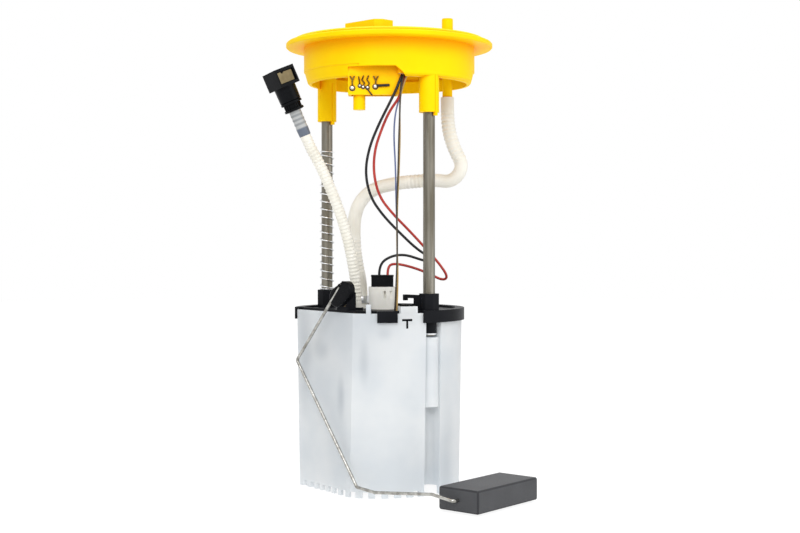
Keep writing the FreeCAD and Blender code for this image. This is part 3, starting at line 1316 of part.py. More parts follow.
def make_connector():
    sleeve = new_body("hose_sleeve")
    revolve(sleeve, outline(new_sketch(sleeve, "XZ_Plane"), [
        ("0", "0"), ("hose_sleeve_radius", "0"), ("hose_sleeve_radius", "5.5"),
        ("hose_sleeve_radius - 0.3", "6.2"), ("hose_sleeve_radius - 0.3", "10"),
        ("hose_sleeve_radius", "11"), ("hose_sleeve_radius - 0.3", "12"),
        ("hose_sleeve_radius - 0.3", "hose_sleeve_length"), ("0", "hose_sleeve_length"),
    ]))
    set_on_connector(sleeve)
    body = new_body("quick_connector")
    low = "hose_sleeve_length"
    head = f"{low} + connector_neck"
    revolve(body, outline(new_sketch(body, "XZ_Plane"), [
        ("0", low), ("connector_radius - 1", low), ("ring_radius - 0.6", f"{low} + 0.4"),
        ("ring_radius - 0.6", f"{low} + 1.8"), ("connector_radius - 0.8", f"{low} + 2.2"),
        ("connector_radius - 0.8", f"{low} + 5"), ("ring_radius", f"{low} + 5.2"),
        ("ring_radius", f"{low} + 6.6"), ("connector_radius", f"{low} + 7.2"),
        ("connector_radius", head), ("0", head),
    ]))
    cap = new_sketch(body, height=head)
    half = "head_side / 2"
    rectangle(cap, f"-{half}", half, f"-{half}", half)
    pad(body, cap, "head_height")
    bore = circle(new_sketch(body, height=f"{head} + head_height"), "connector_bore")
    pocket(body, bore, "connector_depth")
    mouth = circle(new_sketch(body, height=f"{head} + head_height"), "connector_bore + 1")
    pocket(body, mouth, "lead_in")
    middle = f"({head} + head_height / 2)"
    cut_button_window(body, half, middle)
    seals = []
    for i in range(2):
        level = f"{head} - seal_first - {i} * seal_pitch"
        wide = f"{level} - seal_radius - 0.1"
        groove = outline(new_sketch(body, "XZ_Plane"), [
            ("connector_bore - 1", wide), ("connector_bore + 2 * seal_radius + 0.05", wide),
            ("connector_bore + 2 * seal_radius + 0.05", f"{level} + seal_radius + 0.1"),
            ("connector_bore - 1", f"{level} + seal_radius + 0.1"),
        ])
        revolve(body, groove, groove=True)
        seals.append(level)
    set_on_connector(body)
    make_seals(seals)
    make_button(half, middle)


def cut_button_window(body, half, middle):
    """Window for the button's face, and a slot for each of its legs beside the bore."""
    floor = f"({half} - button_set - button_plate - button_travel - 0.1)"
    wide, tall = "(button_width / 2 + button_play)", "(button_height / 2 + button_play)"
    window = turned_sketch(body, "0", half)
    rectangle(window, f"-{wide}", wide, f"{middle} - {tall}", f"{middle} + {tall}")
    pocket(body, window, f"{half} - {floor}")
    inner = "(button_width / 2 - button_leg - button_play)"
    rise = "(leg_height / 2 + button_play)"
    for near, far in ((f"{inner}", f"{wide}"), (f"-{wide}", f"-{inner}")):
        slot = turned_sketch(body, "0", half)
        rectangle(slot, near, far, f"{middle} - {rise}", f"{middle} + {rise}")
        pocket(body, slot, f"{half} + leg_end + button_travel + button_play")


def make_seals(levels):
    """Rubber rings in the grooves of the bore."""
    rings = []
    for level in levels:
        ring = document.addObject("Part::Torus", "Seal")
        bind(ring, "Radius1", "connector_bore + seal_radius")
        bind(ring, "Radius2", "seal_radius")
        place(ring, z=level)
        rings.append(ring)
    group = document.addObject("Part::Compound", "Seals")
    group.Links = rings
    set_on_connector(group)
    keep("connector_seals", group)


def make_button(half, middle):
    """Face plate with two legs that run past the bore and spring back by themselves."""
    button = new_body("release_button")
    front = f"({half} - button_set)"
    face = turned_sketch(button, "0", front)
    rectangle(face, "-button_width / 2", "button_width / 2",
              f"{middle} - button_height / 2", f"{middle} + button_height / 2")
    pad(button, face, "button_plate", down=True)
    inner = "(button_width / 2 - button_leg)"
    for near, far in ((inner, "button_width / 2"), ("-button_width / 2", f"-{inner}")):
        leg = turned_sketch(button, "0", front)
        rectangle(leg, near, far, f"{middle} - leg_height / 2", f"{middle} + leg_height / 2")
        pad(button, leg, f"{front} + leg_end", down=True)
    set_on_connector(button)


def build():
    fill_sheet()
    make_reservoir()
    make_vent_cap()
    make_foot_valve()
    make_latch_key()
    make_cover()
    make_rods()
    make_spring()
    make_pump()
    make_holder()
    make_jet_pump()
    make_flange()
    make_terminals()
    make_sender()
    make_arm()
    make_float()
    make_hoses()
    make_connector()
    document.recompute()


def check():
    for thing in document.Objects:
        if "Invalid" in thing.State or "Error" in thing.State:
            raise RuntimeError(f"{thing.Name} ({thing.Label}) failed: {thing.State}")
    for label, thing in nodes.items():
        if thing.Shape.isNull() or not thing.Shape.isValid() or not thing.Shape.Solids:
            raise RuntimeError(f"{label} has no valid solid")


def export():
    os.makedirs("parts", exist_ok=True)
    for label, thing in nodes.items():
        thing.Shape.exportStep(os.path.join("parts", f"{label}.step"))
        print(f"{label}: {len(thing.Shape.Solids)} solid(s), {thing.Shape.Volume:.0f} mm3")


build()
check()
export()
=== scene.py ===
import math

import bmesh
import bpy
from mathutils import Matrix, Vector


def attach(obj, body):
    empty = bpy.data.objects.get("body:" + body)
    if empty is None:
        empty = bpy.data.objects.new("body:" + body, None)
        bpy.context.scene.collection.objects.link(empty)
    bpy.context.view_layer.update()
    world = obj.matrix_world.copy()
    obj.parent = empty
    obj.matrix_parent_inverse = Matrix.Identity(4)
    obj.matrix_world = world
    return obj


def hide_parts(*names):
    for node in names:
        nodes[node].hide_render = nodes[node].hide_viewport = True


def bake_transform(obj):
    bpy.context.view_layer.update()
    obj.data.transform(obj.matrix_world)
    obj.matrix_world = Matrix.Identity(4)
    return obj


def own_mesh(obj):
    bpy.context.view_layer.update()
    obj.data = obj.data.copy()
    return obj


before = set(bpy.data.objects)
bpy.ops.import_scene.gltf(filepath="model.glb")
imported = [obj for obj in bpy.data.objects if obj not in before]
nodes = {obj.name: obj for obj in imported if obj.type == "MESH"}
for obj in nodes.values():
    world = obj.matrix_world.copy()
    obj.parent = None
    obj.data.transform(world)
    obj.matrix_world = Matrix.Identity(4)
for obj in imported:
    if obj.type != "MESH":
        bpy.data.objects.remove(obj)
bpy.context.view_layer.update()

print("fuel pump module: frame loaded,", len(nodes), "solids")


# Small helpers for node trees and pieces

def put(tree, kind, inputs=None, **settings):
    made = tree.nodes.new(kind)
    for name, value in settings.items():
        setattr(made, name, value)
    for key, value in (inputs or {}).items():
        if isinstance(value, bpy.types.NodeSocket):
            tree.links.new(value, made.inputs[key])
        else:
            made.inputs[key].default_value = value
    return made


def maths(tree, operation, first, second=0.0):
    return put(tree, "ShaderNodeMath", {0: first, 1: second}, operation=operation).outputs[0]


def ranged(tree, value, fromLow, fromHigh, toLow, toHigh, kind="LINEAR"):
    made = put(tree, "ShaderNodeMapRange", {"Value": value, "From Min": fromLow, "From Max": fromHigh,
                                            "To Min": toLow, "To Max": toHigh}, interpolation_type=kind)
    return made.outputs["Result"]


def colourMix(tree, share, first, second):
    return put(tree, "ShaderNodeMix", {0: share, 6: first, 7: second}, data_type="RGBA").outputs[2]


def startTree(name, floats, others=()):
    tree = bpy.data.node_groups.new(name, "GeometryNodeTree")
    tree.interface.new_socket(name="Geometry", in_out="OUTPUT", socket_type="NodeSocketGeometry")
    for label, kind in [*others, ("Finish", "Material")] + [(label, "Float") for label in floats]:
        tree.interface.new_socket(name=label, in_out="INPUT", socket_type="NodeSocket" + kind)
    return tree, tree.nodes.new("NodeGroupInput").outputs


def endTree(tree, geometry, finish):
    whole = put(tree, "GeometryNodeRealizeInstances", {"Geometry": geometry})
    dressed = put(tree, "GeometryNodeSetMaterial", {"Geometry": whole.outputs["Geometry"],
                                                    "Material": finish})
    end = tree.nodes.new("NodeGroupOutput")
    tree.links.new(dressed.outputs["Geometry"], end.inputs["Geometry"])
    return tree


def startMaterial(name):
    material = bpy.data.materials.new(name)
    material.use_nodes = True
    tree = material.node_tree
    place = put(tree, "ShaderNodeTexCoord").outputs["Object"]
    return material, tree, tree.nodes["Principled BSDF"], place


def letLightThrough(tree, shader, share, inputs):
    through = put(tree, "ShaderNodeBsdfTranslucent", inputs).outputs[0]
    mixed = put(tree, "ShaderNodeMixShader", {0: share, 1: shader.outputs[0], 2: through})
    tree.links.new(mixed.outputs[0], tree.nodes["Material Output"].inputs["Surface"])


def seenDirectly(tree):  # 1 on a ray from the camera, or one mirrored or let through on its way
    seen = put(tree, "ShaderNodeLightPath").outputs
    return maths(tree, "MAXIMUM", seen["Is Camera Ray"],
                 maths(tree, "MAXIMUM", seen["Is Glossy Ray"], seen["Is Transmission Ray"]))


def paint(red, green, blue):  # a colour picked from a picture, made linear
    parts = [part / 255 for part in (red, green, blue)]
    return [part / 12.92 if part <= 0.04045 else ((part + 0.055) / 1.055) ** 2.4 for part in parts] + [1.0]


def addObject(name, data):
    made = bpy.data.objects.new(name, data)
    bpy.context.collection.objects.link(made)
    return made


# Finishes. Sizes of patches and grain are in metres, and bump depths too.

finishes = {
    # the flange's deeper amber for its recesses is painted shade
    "flangeYellow": {"colour": (255, 215, 0), "shade": (254, 208, 0), "roughness": (0.42, 0.54),
                     "patch": 0.03, "grain": 0.0011, "depth": 0.00003, "specular": 0.07,
                     "paintedRecessShade": (246, 164, 0), "reach": 0.013},
    "coverBlack": {"colour": (19, 20, 23), "shade": (26, 27, 31), "roughness": (0.34, 0.48),
                   "patch": 0.02, "grain": 0.0007, "depth": 0.00004, "specular": 0.06},
    "glossBlack": {"colour": (12, 13, 15), "shade": (18, 19, 22), "roughness": (0.2, 0.3),
                   "patch": 0.012, "grain": 0.0009, "depth": 0.00002, "specular": 0.07},
    "capCream": {"colour": (248, 247, 241), "shade": (240, 238, 230), "roughness": (0.36, 0.48),
                 "patch": 0.014, "grain": 0.0008, "depth": 0.00003, "specular": 0.4, "glow": 0.1},
    "buttonBeige": {"colour": (130, 117, 84), "shade": (110, 97, 66), "roughness": (0.4, 0.52),
                    "patch": 0.006, "grain": 0.0006, "depth": 0.00003, "specular": 0.3},
    "hoseCream": {"colour": (247, 245, 237), "shade": (238, 235, 224), "roughness": (0.38, 0.5),
                  "patch": 0.012, "grain": 0.0007, "depth": 0.00003, "specular": 0.4, "clear": 0.2},
    "potPlastic": {"colour": (246, 248, 249), "shade": (236, 240, 243), "roughness": (0.34, 0.44),
                   "patch": 0.035, "grain": 0.0012, "depth": 0.00004, "specular": 0.4, "clear": 0.42,
                   # the pot's soft grey patches are painted shade: shadows of the parts inside, a darker top
                   # and shaded edges
                   "inner": [((0.020, -0.045, 0.118), (0.070, 0.050, 0.055), 0.22),
                             ((-0.0315, -0.042, 0.098), (0.014, 0.014, 0.060), 0.4),
                             ((-0.0103, -0.0452, 0.0957), (0.014, 0.014, 0.010), 0.36),
                             ((0.0133, -0.0487, 0.0657), (0.0065, 0.0065, 0.022), 0.4),
                             ((0.0331, -0.0464, 0.0905), (0.0052, 0.0052, 0.022), 0.34),
                             ((0.0431, -0.0377, 0.1095), (0.007, 0.007, 0.007), 0.2),
                             ((0.0553, 0.0089, 0.0353), (0.014, 0.014, 0.060), 0.2)],
                   "innerTint": (186, 193, 200)},
    "floatCharcoal": {"colour": (68, 69, 72), "shade": (61, 62, 65), "roughness": (0.5, 0.66),
                      "patch": 0.02, "grain": 0.0005, "depth": 0.00005, "specular": 0.4,
                      # the float's edge colour is painted shade on its rounded edges
                      "edge": (36, 37, 41), "edgeTurn": 5.5},
    "sealRubber": {"colour": (26, 26, 27), "shade": (36, 36, 37), "roughness": (0.6, 0.72),
                   "patch": 0.008, "grain": 0.0006, "depth": 0.00004, "specular": 0.3},
    "carbonGrey": {"colour": (44, 44, 46), "shade": (58, 58, 60), "roughness": (0.55, 0.7),
                   "patch": 0.004, "grain": 0.0004, "depth": 0.00005, "specular": 0.4},
    "cardBrown": {"colour": (98, 84, 60), "shade": (82, 70, 50), "roughness": (0.45, 0.6),
                  "patch": 0.006, "grain": 0.0005, "depth": 0.00003, "specular": 0.4},
    "strainerWhite": {"colour": (222, 222, 216), "shade": (196, 196, 188), "roughness": (0.7, 0.85),
                      "patch": 0.004, "grain": 0.0006, "depth": 0.0002, "specular": 0.2},
    # dark brown for the discs behind the solder drops: painted shade
    "dropShadeBrown": {"colour": (74, 52, 20), "shade": (52, 34, 14), "roughness": (0.2, 0.34),
                  "patch": 0.002, "grain": 0.0004, "depth": 0.00003, "specular": 0.5},
    "wireBlack": {"colour": (20, 20, 23), "shade": (29, 29, 33), "roughness": (0.3, 0.4),
                  "patch": 0.01, "grain": 0.0008, "depth": 0.00001, "specular": 0.3},
    "wireRed": {"colour": (186, 60, 50), "shade": (168, 46, 40), "roughness": (0.3, 0.42),
                "patch": 0.01, "grain": 0.0008, "depth": 0.00001, "specular": 0.35},
    "wireBlue": {"colour": (104, 117, 158), "shade": (88, 100, 140), "roughness": (0.34, 0.46),
                 "patch": 0.01, "grain": 0.0008, "depth": 0.00001, "specular": 0.35},
    "wireTan": {"colour": (180, 150, 90), "shade": (162, 132, 74), "roughness": (0.34, 0.46),
                "patch": 0.01, "grain": 0.0008, "depth": 0.00001, "specular": 0.35},
    "wireBrown": {"colour": (58, 48, 32), "shade": (46, 38, 25), "roughness": (0.34, 0.46),
                  "patch": 0.01, "grain": 0.0008, "depth": 0.00001, "specular": 0.35},
}

metals = {
    "rodSteel": {"colour": (138, 134, 124), "shade": (106, 101, 89), "roughness": (0.3, 0.44),
                 "stretch": (420, 420, 24), "depth": 0.00003},
    "springSteel": {"colour": (238, 239, 240), "shade": (206, 208, 210), "roughness": (0.26, 0.4),
                    "stretch": (260, 260, 260), "depth": 0.00001},
    "armSteel": {"colour": (190, 189, 184), "shade": (142, 140, 134), "roughness": (0.16, 0.28),
                 "stretch": (300, 300, 300), "depth": 0.00001},
    "canSteel": {"colour": (168, 170, 172), "shade": (140, 142, 145), "roughness": (0.26, 0.38),
                 "stretch": (40, 40, 300), "depth": 0.00001},
    "motorIron": {"colour": (104, 102, 100), "shade": (76, 74, 73), "roughness": (0.42, 0.6),
                  "stretch": (200, 200, 200), "depth": 0.00003},
    "solder": {"colour": (236, 237, 238), "shade": (206, 208, 210), "roughness": (0.12, 0.24),
               "stretch": (600, 600, 600), "depth": 0.00002},
    "darkBrass": {"colour": (112, 92, 44), "shade": (74, 58, 26), "roughness": (0.3, 0.46),
                  "stretch": (600, 600, 600), "depth": 0.00002},
    "tinnedBrass": {"colour": (214, 208, 190), "shade": (176, 160, 120), "roughness": (0.18, 0.34),
                    "stretch": (500, 500, 500), "depth": 0.00001},
}


# Where each soft step starts and ends: in the patches, in the grain, from recessed to open in the painted
# recess shade, and from rounded to flat in the painted edge shade. The bump's strength is the same for all
# plastics, and for all metals.
spread = {"patch": (0.35, 0.65), "grain": (0.3, 0.7), "openness": (0.35, 0.95), "flatness": (0.9, 0.98)}
bumpStrength = {"plastic": 0.8, "metal": 0.6}
glow = {"radius": (1.0, 0.9, 0.8), "scale": 0.002}


def makeFinish(name, look):
    material, tree, shader, place = startMaterial(name)
    patches = put(tree, "ShaderNodeTexNoise", {"Vector": place, "Scale": 1 / look["patch"], "Detail": 3.0})
    grain = put(tree, "ShaderNodeTexNoise", {"Vector": place, "Scale": 1 / look["grain"], "Detail": 2.0})
    share = ranged(tree, patches.outputs["Fac"], *spread["patch"], 0.0, 1.0)
    tint = colourMix(tree, share, paint(*look["colour"]), paint(*look["shade"]))
    if "paintedRecessShade" in look:  # painted shade: the colour is a deeper amber where walls of it face each other and shade each other
        nearby = put(tree, "ShaderNodeAmbientOcclusion", {"Distance": look["reach"]}, samples=8)
        openness = ranged(tree, nearby.outputs["AO"], *spread["openness"], 0.0, 1.0)
        tint = colourMix(tree, openness, paint(*look["paintedRecessShade"]), tint)
    for spot, reach, strength in look.get("inner", []):  # painted shade: soft patches stand for shadows of parts inside seen through the wall, a darker upper part, and shade at the left edge and in the right channel
        away = put(tree, "ShaderNodeVectorMath", {0: place, 1: spot}, operation="SUBTRACT").outputs["Vector"]
        scaled = put(tree, "ShaderNodeVectorMath", {0: away, 1: reach}, operation="DIVIDE").outputs["Vector"]
        distance = put(tree, "ShaderNodeVectorMath", {0: scaled}, operation="LENGTH").outputs["Value"]
        shadowShare = ranged(tree, distance, 0.0, 1.0, strength, 0.0, "SMOOTHSTEP")
        tint = colourMix(tree, shadowShare, tint, paint(*look["innerTint"]))
    if "edge" in look:  # painted shade: rounded edges, which face none of the block's six ways, are darker
        facing = put(tree, "ShaderNodeTexCoord").outputs["Normal"]
        angle = math.radians(look["edgeTurn"])
        flatness = 0.0
        for way in ((math.cos(angle), math.sin(angle), 0), (-math.sin(angle), math.cos(angle), 0), (0, 0, 1)):
            along = put(tree, "ShaderNodeVectorMath", {0: facing, 1: way}, operation="DOT_PRODUCT")
            flatness = maths(tree, "MAXIMUM", maths(tree, "ABSOLUTE", along.outputs["Value"]), flatness)
        rounded = ranged(tree, flatness, *spread["flatness"], 1.0, 0.0)
        tint = colourMix(tree, rounded, tint, paint(*look["edge"]))
    tree.links.new(tint, shader.inputs["Base Color"])
    smoothness = ranged(tree, grain.outputs["Fac"], *spread["grain"], *look["roughness"])
    tree.links.new(smoothness, shader.inputs["Roughness"])
    bump = put(tree, "ShaderNodeBump", {"Height": grain.outputs["Fac"], "Distance": look["depth"],
                                        "Strength": bumpStrength["plastic"]}).outputs["Normal"]
    tree.links.new(bump, shader.inputs["Normal"])
    shader.inputs["Specular IOR Level"].default_value = look["specular"]
    shader.inputs["Subsurface Weight"].default_value = look.get("glow", 0.0)
    shader.inputs["Subsurface Radius"].default_value = glow["radius"]
    shader.inputs["Subsurface Scale"].default_value = glow["scale"]
    if "clear" in look:  # thin walls: light that falls on the far side comes through, spread out
        letLightThrough(tree, shader, look["clear"], {"Color": tint, "Normal": bump})
    return material


def makeMetal(name, look):
    material, tree, shader, place = startMaterial(name)
    drawn = put(tree, "ShaderNodeMapping", {"Vector": place, "Scale": look["stretch"]}).outputs["Vector"]
    streaks = put(tree, "ShaderNodeTexNoise", {"Vector": drawn, "Scale": 1.0, "Detail": 4.0}).outputs["Fac"]
    tint = colourMix(tree, ranged(tree, streaks, *spread["patch"], 0.0, 1.0),
                     paint(*look["colour"]), paint(*look["shade"]))
    tree.links.new(tint, shader.inputs["Base Color"])
    smoothness = ranged(tree, streaks, *spread["grain"], *look["roughness"])
    tree.links.new(smoothness, shader.inputs["Roughness"])
    bump = put(tree, "ShaderNodeBump", {"Height": streaks, "Distance": look["depth"],
                                        "Strength": bumpStrength["metal"]})
    tree.links.new(bump.outputs["Normal"], shader.inputs["Normal"])
    shader.inputs["Metallic"].default_value = 1.0
    return material


# The hose's sleeve: grey and half clear, with the connector's barbs showing in it as rings
sleeve = {"start": (0.0026, -0.0709, 0.23965), "along": (-0.19904, -0.34763, 0.91672),
          "colour": (194, 196, 196), "barb": (142, 146, 150), "lowBand": (108, 118, 134),
          "barbs": (0.0085, 0.0115, 0.0145), "barbEdge": (0.0003, 0.0011), "barbStrength": 0.8,
          "bandEnd": 0.0057, "bandBefore": 0.0008, "bandAfter": 0.0006, "clear": 0.25,
          "cloud": 400.0, "roughness": (0.26, 0.38),
          "shape": [(0, 0), (0.0037, 0), (0.0039, 0.0006), (0.0041, 0.0054), (0.0040, 0.0060),
                    (0.00385, 0.0076), (0.0041, 0.0086), (0.0039, 0.0096), (0.0039, 0.0106),
                    (0.0041, 0.0116), (0.0039, 0.0126), (0.0039, 0.0136), (0.0041, 0.0146),
                    (0.0040, 0.0156), (0.0040, 0.0175), (0, 0.0175)]}


def makeSleeve():
    material, tree, shader, place = startMaterial("sleeveGrey")
    fromStart = put(tree, "ShaderNodeVectorMath", {0: place, 1: sleeve["start"]}, operation="SUBTRACT")
    along = put(tree, "ShaderNodeVectorMath", {0: fromStart.outputs["Vector"], 1: sleeve["along"]},
                operation="DOT_PRODUCT").outputs["Value"]
    tint = paint(*sleeve["colour"])
    for barb in sleeve["barbs"]:
        away = maths(tree, "ABSOLUTE", maths(tree, "SUBTRACT", along, barb))
        ring = ranged(tree, away, *sleeve["barbEdge"], sleeve["barbStrength"], 0.0, "SMOOTHSTEP")
        tint = colourMix(tree, ring, tint, paint(*sleeve["barb"]))
    band = ranged(tree, along, sleeve["bandEnd"] - sleeve["bandBefore"],
                  sleeve["bandEnd"] + sleeve["bandAfter"], 1.0, 0.0, "SMOOTHSTEP")
    tint = colourMix(tree, band, tint, paint(*sleeve["lowBand"]))
    tree.links.new(tint, shader.inputs["Base Color"])
    cloud = put(tree, "ShaderNodeTexNoise", {"Vector": place, "Scale": sleeve["cloud"], "Detail": 3.0})
    smoothness = ranged(tree, cloud.outputs["Fac"], *spread["grain"], *sleeve["roughness"])
    tree.links.new(smoothness, shader.inputs["Roughness"])
    letLightThrough(tree, shader, sleeve["clear"], {"Color": tint})
    return material


materials = {name: makeFinish(name, look) for name, look in finishes.items()}
materials.update({name: makeMetal(name, look) for name, look in metals.items()})
materials["sleeveGrey"] = makeSleeve()

nodeFinishes = {
    "potPlastic": ["reservoir", "pump_holder"],
    "coverBlack": ["reservoir_cover", "sender_housing", "jet_pump", "transfer_pipe", "impeller"],
    "glossBlack": ["arm_holder", "pump_plug", "quick_connector", "vent_cap", "latch_key"],
    "capCream": ["pump_end_cap", "pump_inlet_cap"],
    "flangeYellow": ["flange"],
    "rodSteel": ["guide_rod_right", "guide_rod_left", "pivot_pin"],
    "springSteel": ["rod_clip_right", "rod_clip_left", "hose_clamp"],
    "canSteel": ["pump_can"],
    "armSteel": ["float_arm"],
    "motorIron": ["armature", "motor_magnets"],
    "carbonGrey": ["motor_brushes"],
    "tinnedBrass": ["wiper"],
    "cardBrown": ["resistor_card"],
    "sealRubber": ["isolator_lower", "isolator_upper", "foot_valve", "connector_seals"],
    "strainerWhite": ["suction_strainer"],
    "floatCharcoal": ["float"],
}
for finish, names in nodeFinishes.items():
    for name in names:
        for holder in nodes[name].material_slots:
            holder.material = materials[finish]
print("finishes:", len(materials))


# Hoses and wires. Each route is the part's own, from its lower end up.

routes = {
    "outletHose": [(-0.0193, 0.0005, 0.1254), (-0.0193, 0.0005, 0.1390), (-0.0217, -0.0019, 0.1535),
                   (-0.0232, -0.0034, 0.1730), (-0.0219, -0.0026, 0.1934), (-0.0136, 0.0046, 0.2066),
                   (-0.0004, 0.0164, 0.2108), (0.0102, 0.0266, 0.2122), (0.0194, 0.0351, 0.2130),
                   (0.0291, 0.0441, 0.2116), (0.0349, 0.0490, 0.2224), (0.0304, 0.0444, 0.2346),
                   (0.0276, 0.0416, 0.2470), (0.0267, 0.0410, 0.2595), (0.0267, 0.0410, 0.2714)],
    "transferHose": [(0.0090, -0.0306, 0.1248), (0.0090, -0.0306, 0.1390), (0.0092, -0.0344, 0.1560),
                     (0.0093, -0.0394, 0.1732), (0.0086, -0.0456, 0.1896), (0.0071, -0.0534, 0.2066),
                     (0.0051, -0.0612, 0.2224), (0.0044, -0.0678, 0.2314), (0.0026, -0.0709, 0.23965)],
    "wireBlack": [(-0.0046, 0.0042, 0.1460), (-0.0046, 0.0042, 0.1536), (0.0016, 0.0098, 0.1594),
                  (0.0090, 0.0164, 0.1604), (0.0176, 0.0224, 0.1570), (0.0264, 0.0254, 0.1546),
                  (0.0310, 0.0190, 0.1584), (0.0286, 0.0076, 0.1646), (0.0246, -0.0044, 0.1754),
                  (0.0190, -0.0148, 0.1870), (0.0155, -0.0241, 0.2000), (0.0175, -0.0306, 0.2164),
                  (0.0237, -0.0328, 0.2322), (0.0314, -0.0320, 0.2465), (0.0378, -0.0286, 0.2600),
                  (0.0416, -0.0242, 0.2716), (0.0425, -0.0202, 0.2810)],
    "wireRed": [(0.0012, 0.0068, 0.1460), (0.0012, 0.0068, 0.1524), (0.0040, 0.0114, 0.1542),
                (0.0126, 0.0196, 0.1516), (0.0220, 0.0274, 0.1470), (0.0300, 0.0324, 0.1422),
                (0.0354, 0.0326, 0.1446), (0.0338, 0.0254, 0.1540), (0.0312, 0.0144, 0.1646),
                (0.0276, 0.0022, 0.1767), (0.0234, -0.0099, 0.1882), (0.0199, -0.0197, 0.2000),
                (0.0208, -0.0259, 0.2156), (0.0249, -0.0288, 0.2310), (0.0311, -0.0283, 0.2446),
                (0.0360, -0.0258, 0.2566), (0.0426, -0.0220, 0.2664), (0.0426, -0.0206, 0.2736),
                (0.0437, -0.0179, 0.2810)],
    "wireBlue": [(0.0434, -0.0267, 0.1222), (0.0429, -0.0258, 0.1460), (0.0428, -0.0249, 0.1705),
                 (0.0421, -0.0255, 0.1970), (0.0411, -0.0250, 0.2197), (0.0399, -0.0256, 0.2404),
                 (0.0398, -0.0240, 0.2556), (0.0406, -0.0206, 0.2656), (0.0406, -0.0198, 0.2730),
                 (0.0412, -0.0184, 0.2810)],
    "wireTan": [(0.0444, -0.0272, 0.1222), (0.0456, -0.0269, 0.1457), (0.0448, -0.0276, 0.1685),
                (0.0450, -0.0272, 0.1937), (0.0454, -0.0260, 0.2169), (0.0452, -0.0248, 0.2396),
                (0.0442, -0.0243, 0.2602), (0.0439, -0.0222, 0.2710), (0.0456, -0.0184, 0.2810)],
    "wireBrown": [(0.0433, -0.0279, 0.1222), (0.0464, -0.0294, 0.1444), (0.0480, -0.0300, 0.1682),
                  (0.0470, -0.0300, 0.1920), (0.0474, -0.0288, 0.2155), (0.0468, -0.0276, 0.2381),
                  (0.0466, -0.0262, 0.2598), (0.0450, -0.0244, 0.2706), (0.0443, -0.0204, 0.2810)],
}


def layRoute(name):
    curve = bpy.data.curves.new(name + "Route", "CURVE")
    curve.dimensions = "3D"
    spline = curve.splines.new("NURBS")
    spline.points.add(len(routes[name]) - 1)
    for point, place in zip(spline.points, routes[name]):
        point.co = (*place, 1.0)
    spline.order_u = 3
    spline.use_endpoint_u = True
    curve.resolution_u = 16
    return addObject(name + "Route", curve)


def centreline(route):
    line = bpy.data.meshes.new_from_object(route.evaluated_get(bpy.context.evaluated_depsgraph_get()))
    points = [tuple(vertex.co) for vertex in line.vertices]
    bpy.data.meshes.remove(line)
    return points


# Sides of the round sections, points along a turn of the spring, and sides of the connector's lines
roundness = {"hose": 20, "coil": 28, "wire": 10, "ring": 48, "line": 8}


# A hose or a wire along its route, with rounded ribs on up to three stretches of it
def makeHoseTree():
    floats = ("Radius", "Step", "Rib Depth", "Rib Pitch", "Start 1", "End 1", "Start 2", "End 2",
              "Start 3", "End 3", "Fade")
    tree, sizes = startTree("corrugatedHose", floats, [("Route", "Object")])
    route = put(tree, "GeometryNodeObjectInfo", {"Object": sizes["Route"]}, transform_space="ORIGINAL")
    line = put(tree, "GeometryNodeResampleCurve", {"Curve": route.outputs["Geometry"],
                                                   "Length": sizes["Step"]}, mode="LENGTH")
    along = put(tree, "GeometryNodeSplineParameter").outputs["Length"]
    ribbed = None
    for stretch in ("1", "2", "3"):
        start = sizes["Start " + stretch]
        end = sizes["End " + stretch]
        rise = ranged(tree, along, start, maths(tree, "ADD", start, sizes["Fade"]), 0.0, 1.0)
        fall = ranged(tree, along, maths(tree, "SUBTRACT", end, sizes["Fade"]), end, 1.0, 0.0)
        both = maths(tree, "MULTIPLY", rise, fall)
        ribbed = both if ribbed is None else maths(tree, "MAXIMUM", ribbed, both)
    turn = maths(tree, "MULTIPLY", maths(tree, "DIVIDE", along, sizes["Rib Pitch"]), 2 * math.pi)
    wave = maths(tree, "MULTIPLY", maths(tree, "SINE", turn), sizes["Rib Depth"])
    radius = maths(tree, "ADD", sizes["Radius"], maths(tree, "MULTIPLY", wave, ribbed))
    ring = put(tree, "GeometryNodeCurvePrimitiveCircle", {"Resolution": roundness["hose"], "Radius": 1.0})
    tube = put(tree, "GeometryNodeCurveToMesh", {"Curve": line.outputs["Curve"], "Scale": radius,
                                                 "Profile Curve": ring.outputs["Curve"], "Fill Caps": True})
    smooth = put(tree, "GeometryNodeSetShadeSmooth", {"Geometry": tube.outputs["Mesh"]})
    return endTree(tree, smooth.outputs["Geometry"], sizes["Finish"])


def grow(name, tree, values):
    maker = addObject(name + "Maker", bpy.data.meshes.new(name + "Maker"))
    modifier = maker.modifiers.new("maker", "NODES")
    modifier.node_group = tree
    for socket in tree.interface.items_tree:
        if socket.in_out == "INPUT" and socket.name in values:
            modifier[socket.identifier] = values[socket.name]
    graph = bpy.context.evaluated_depsgraph_get()
    mesh = bpy.data.meshes.new_from_object(maker.evaluated_get(graph))
    bpy.data.objects.remove(maker)
    mesh.name = name
    return addObject(name, mesh)


hoseTree = makeHoseTree()

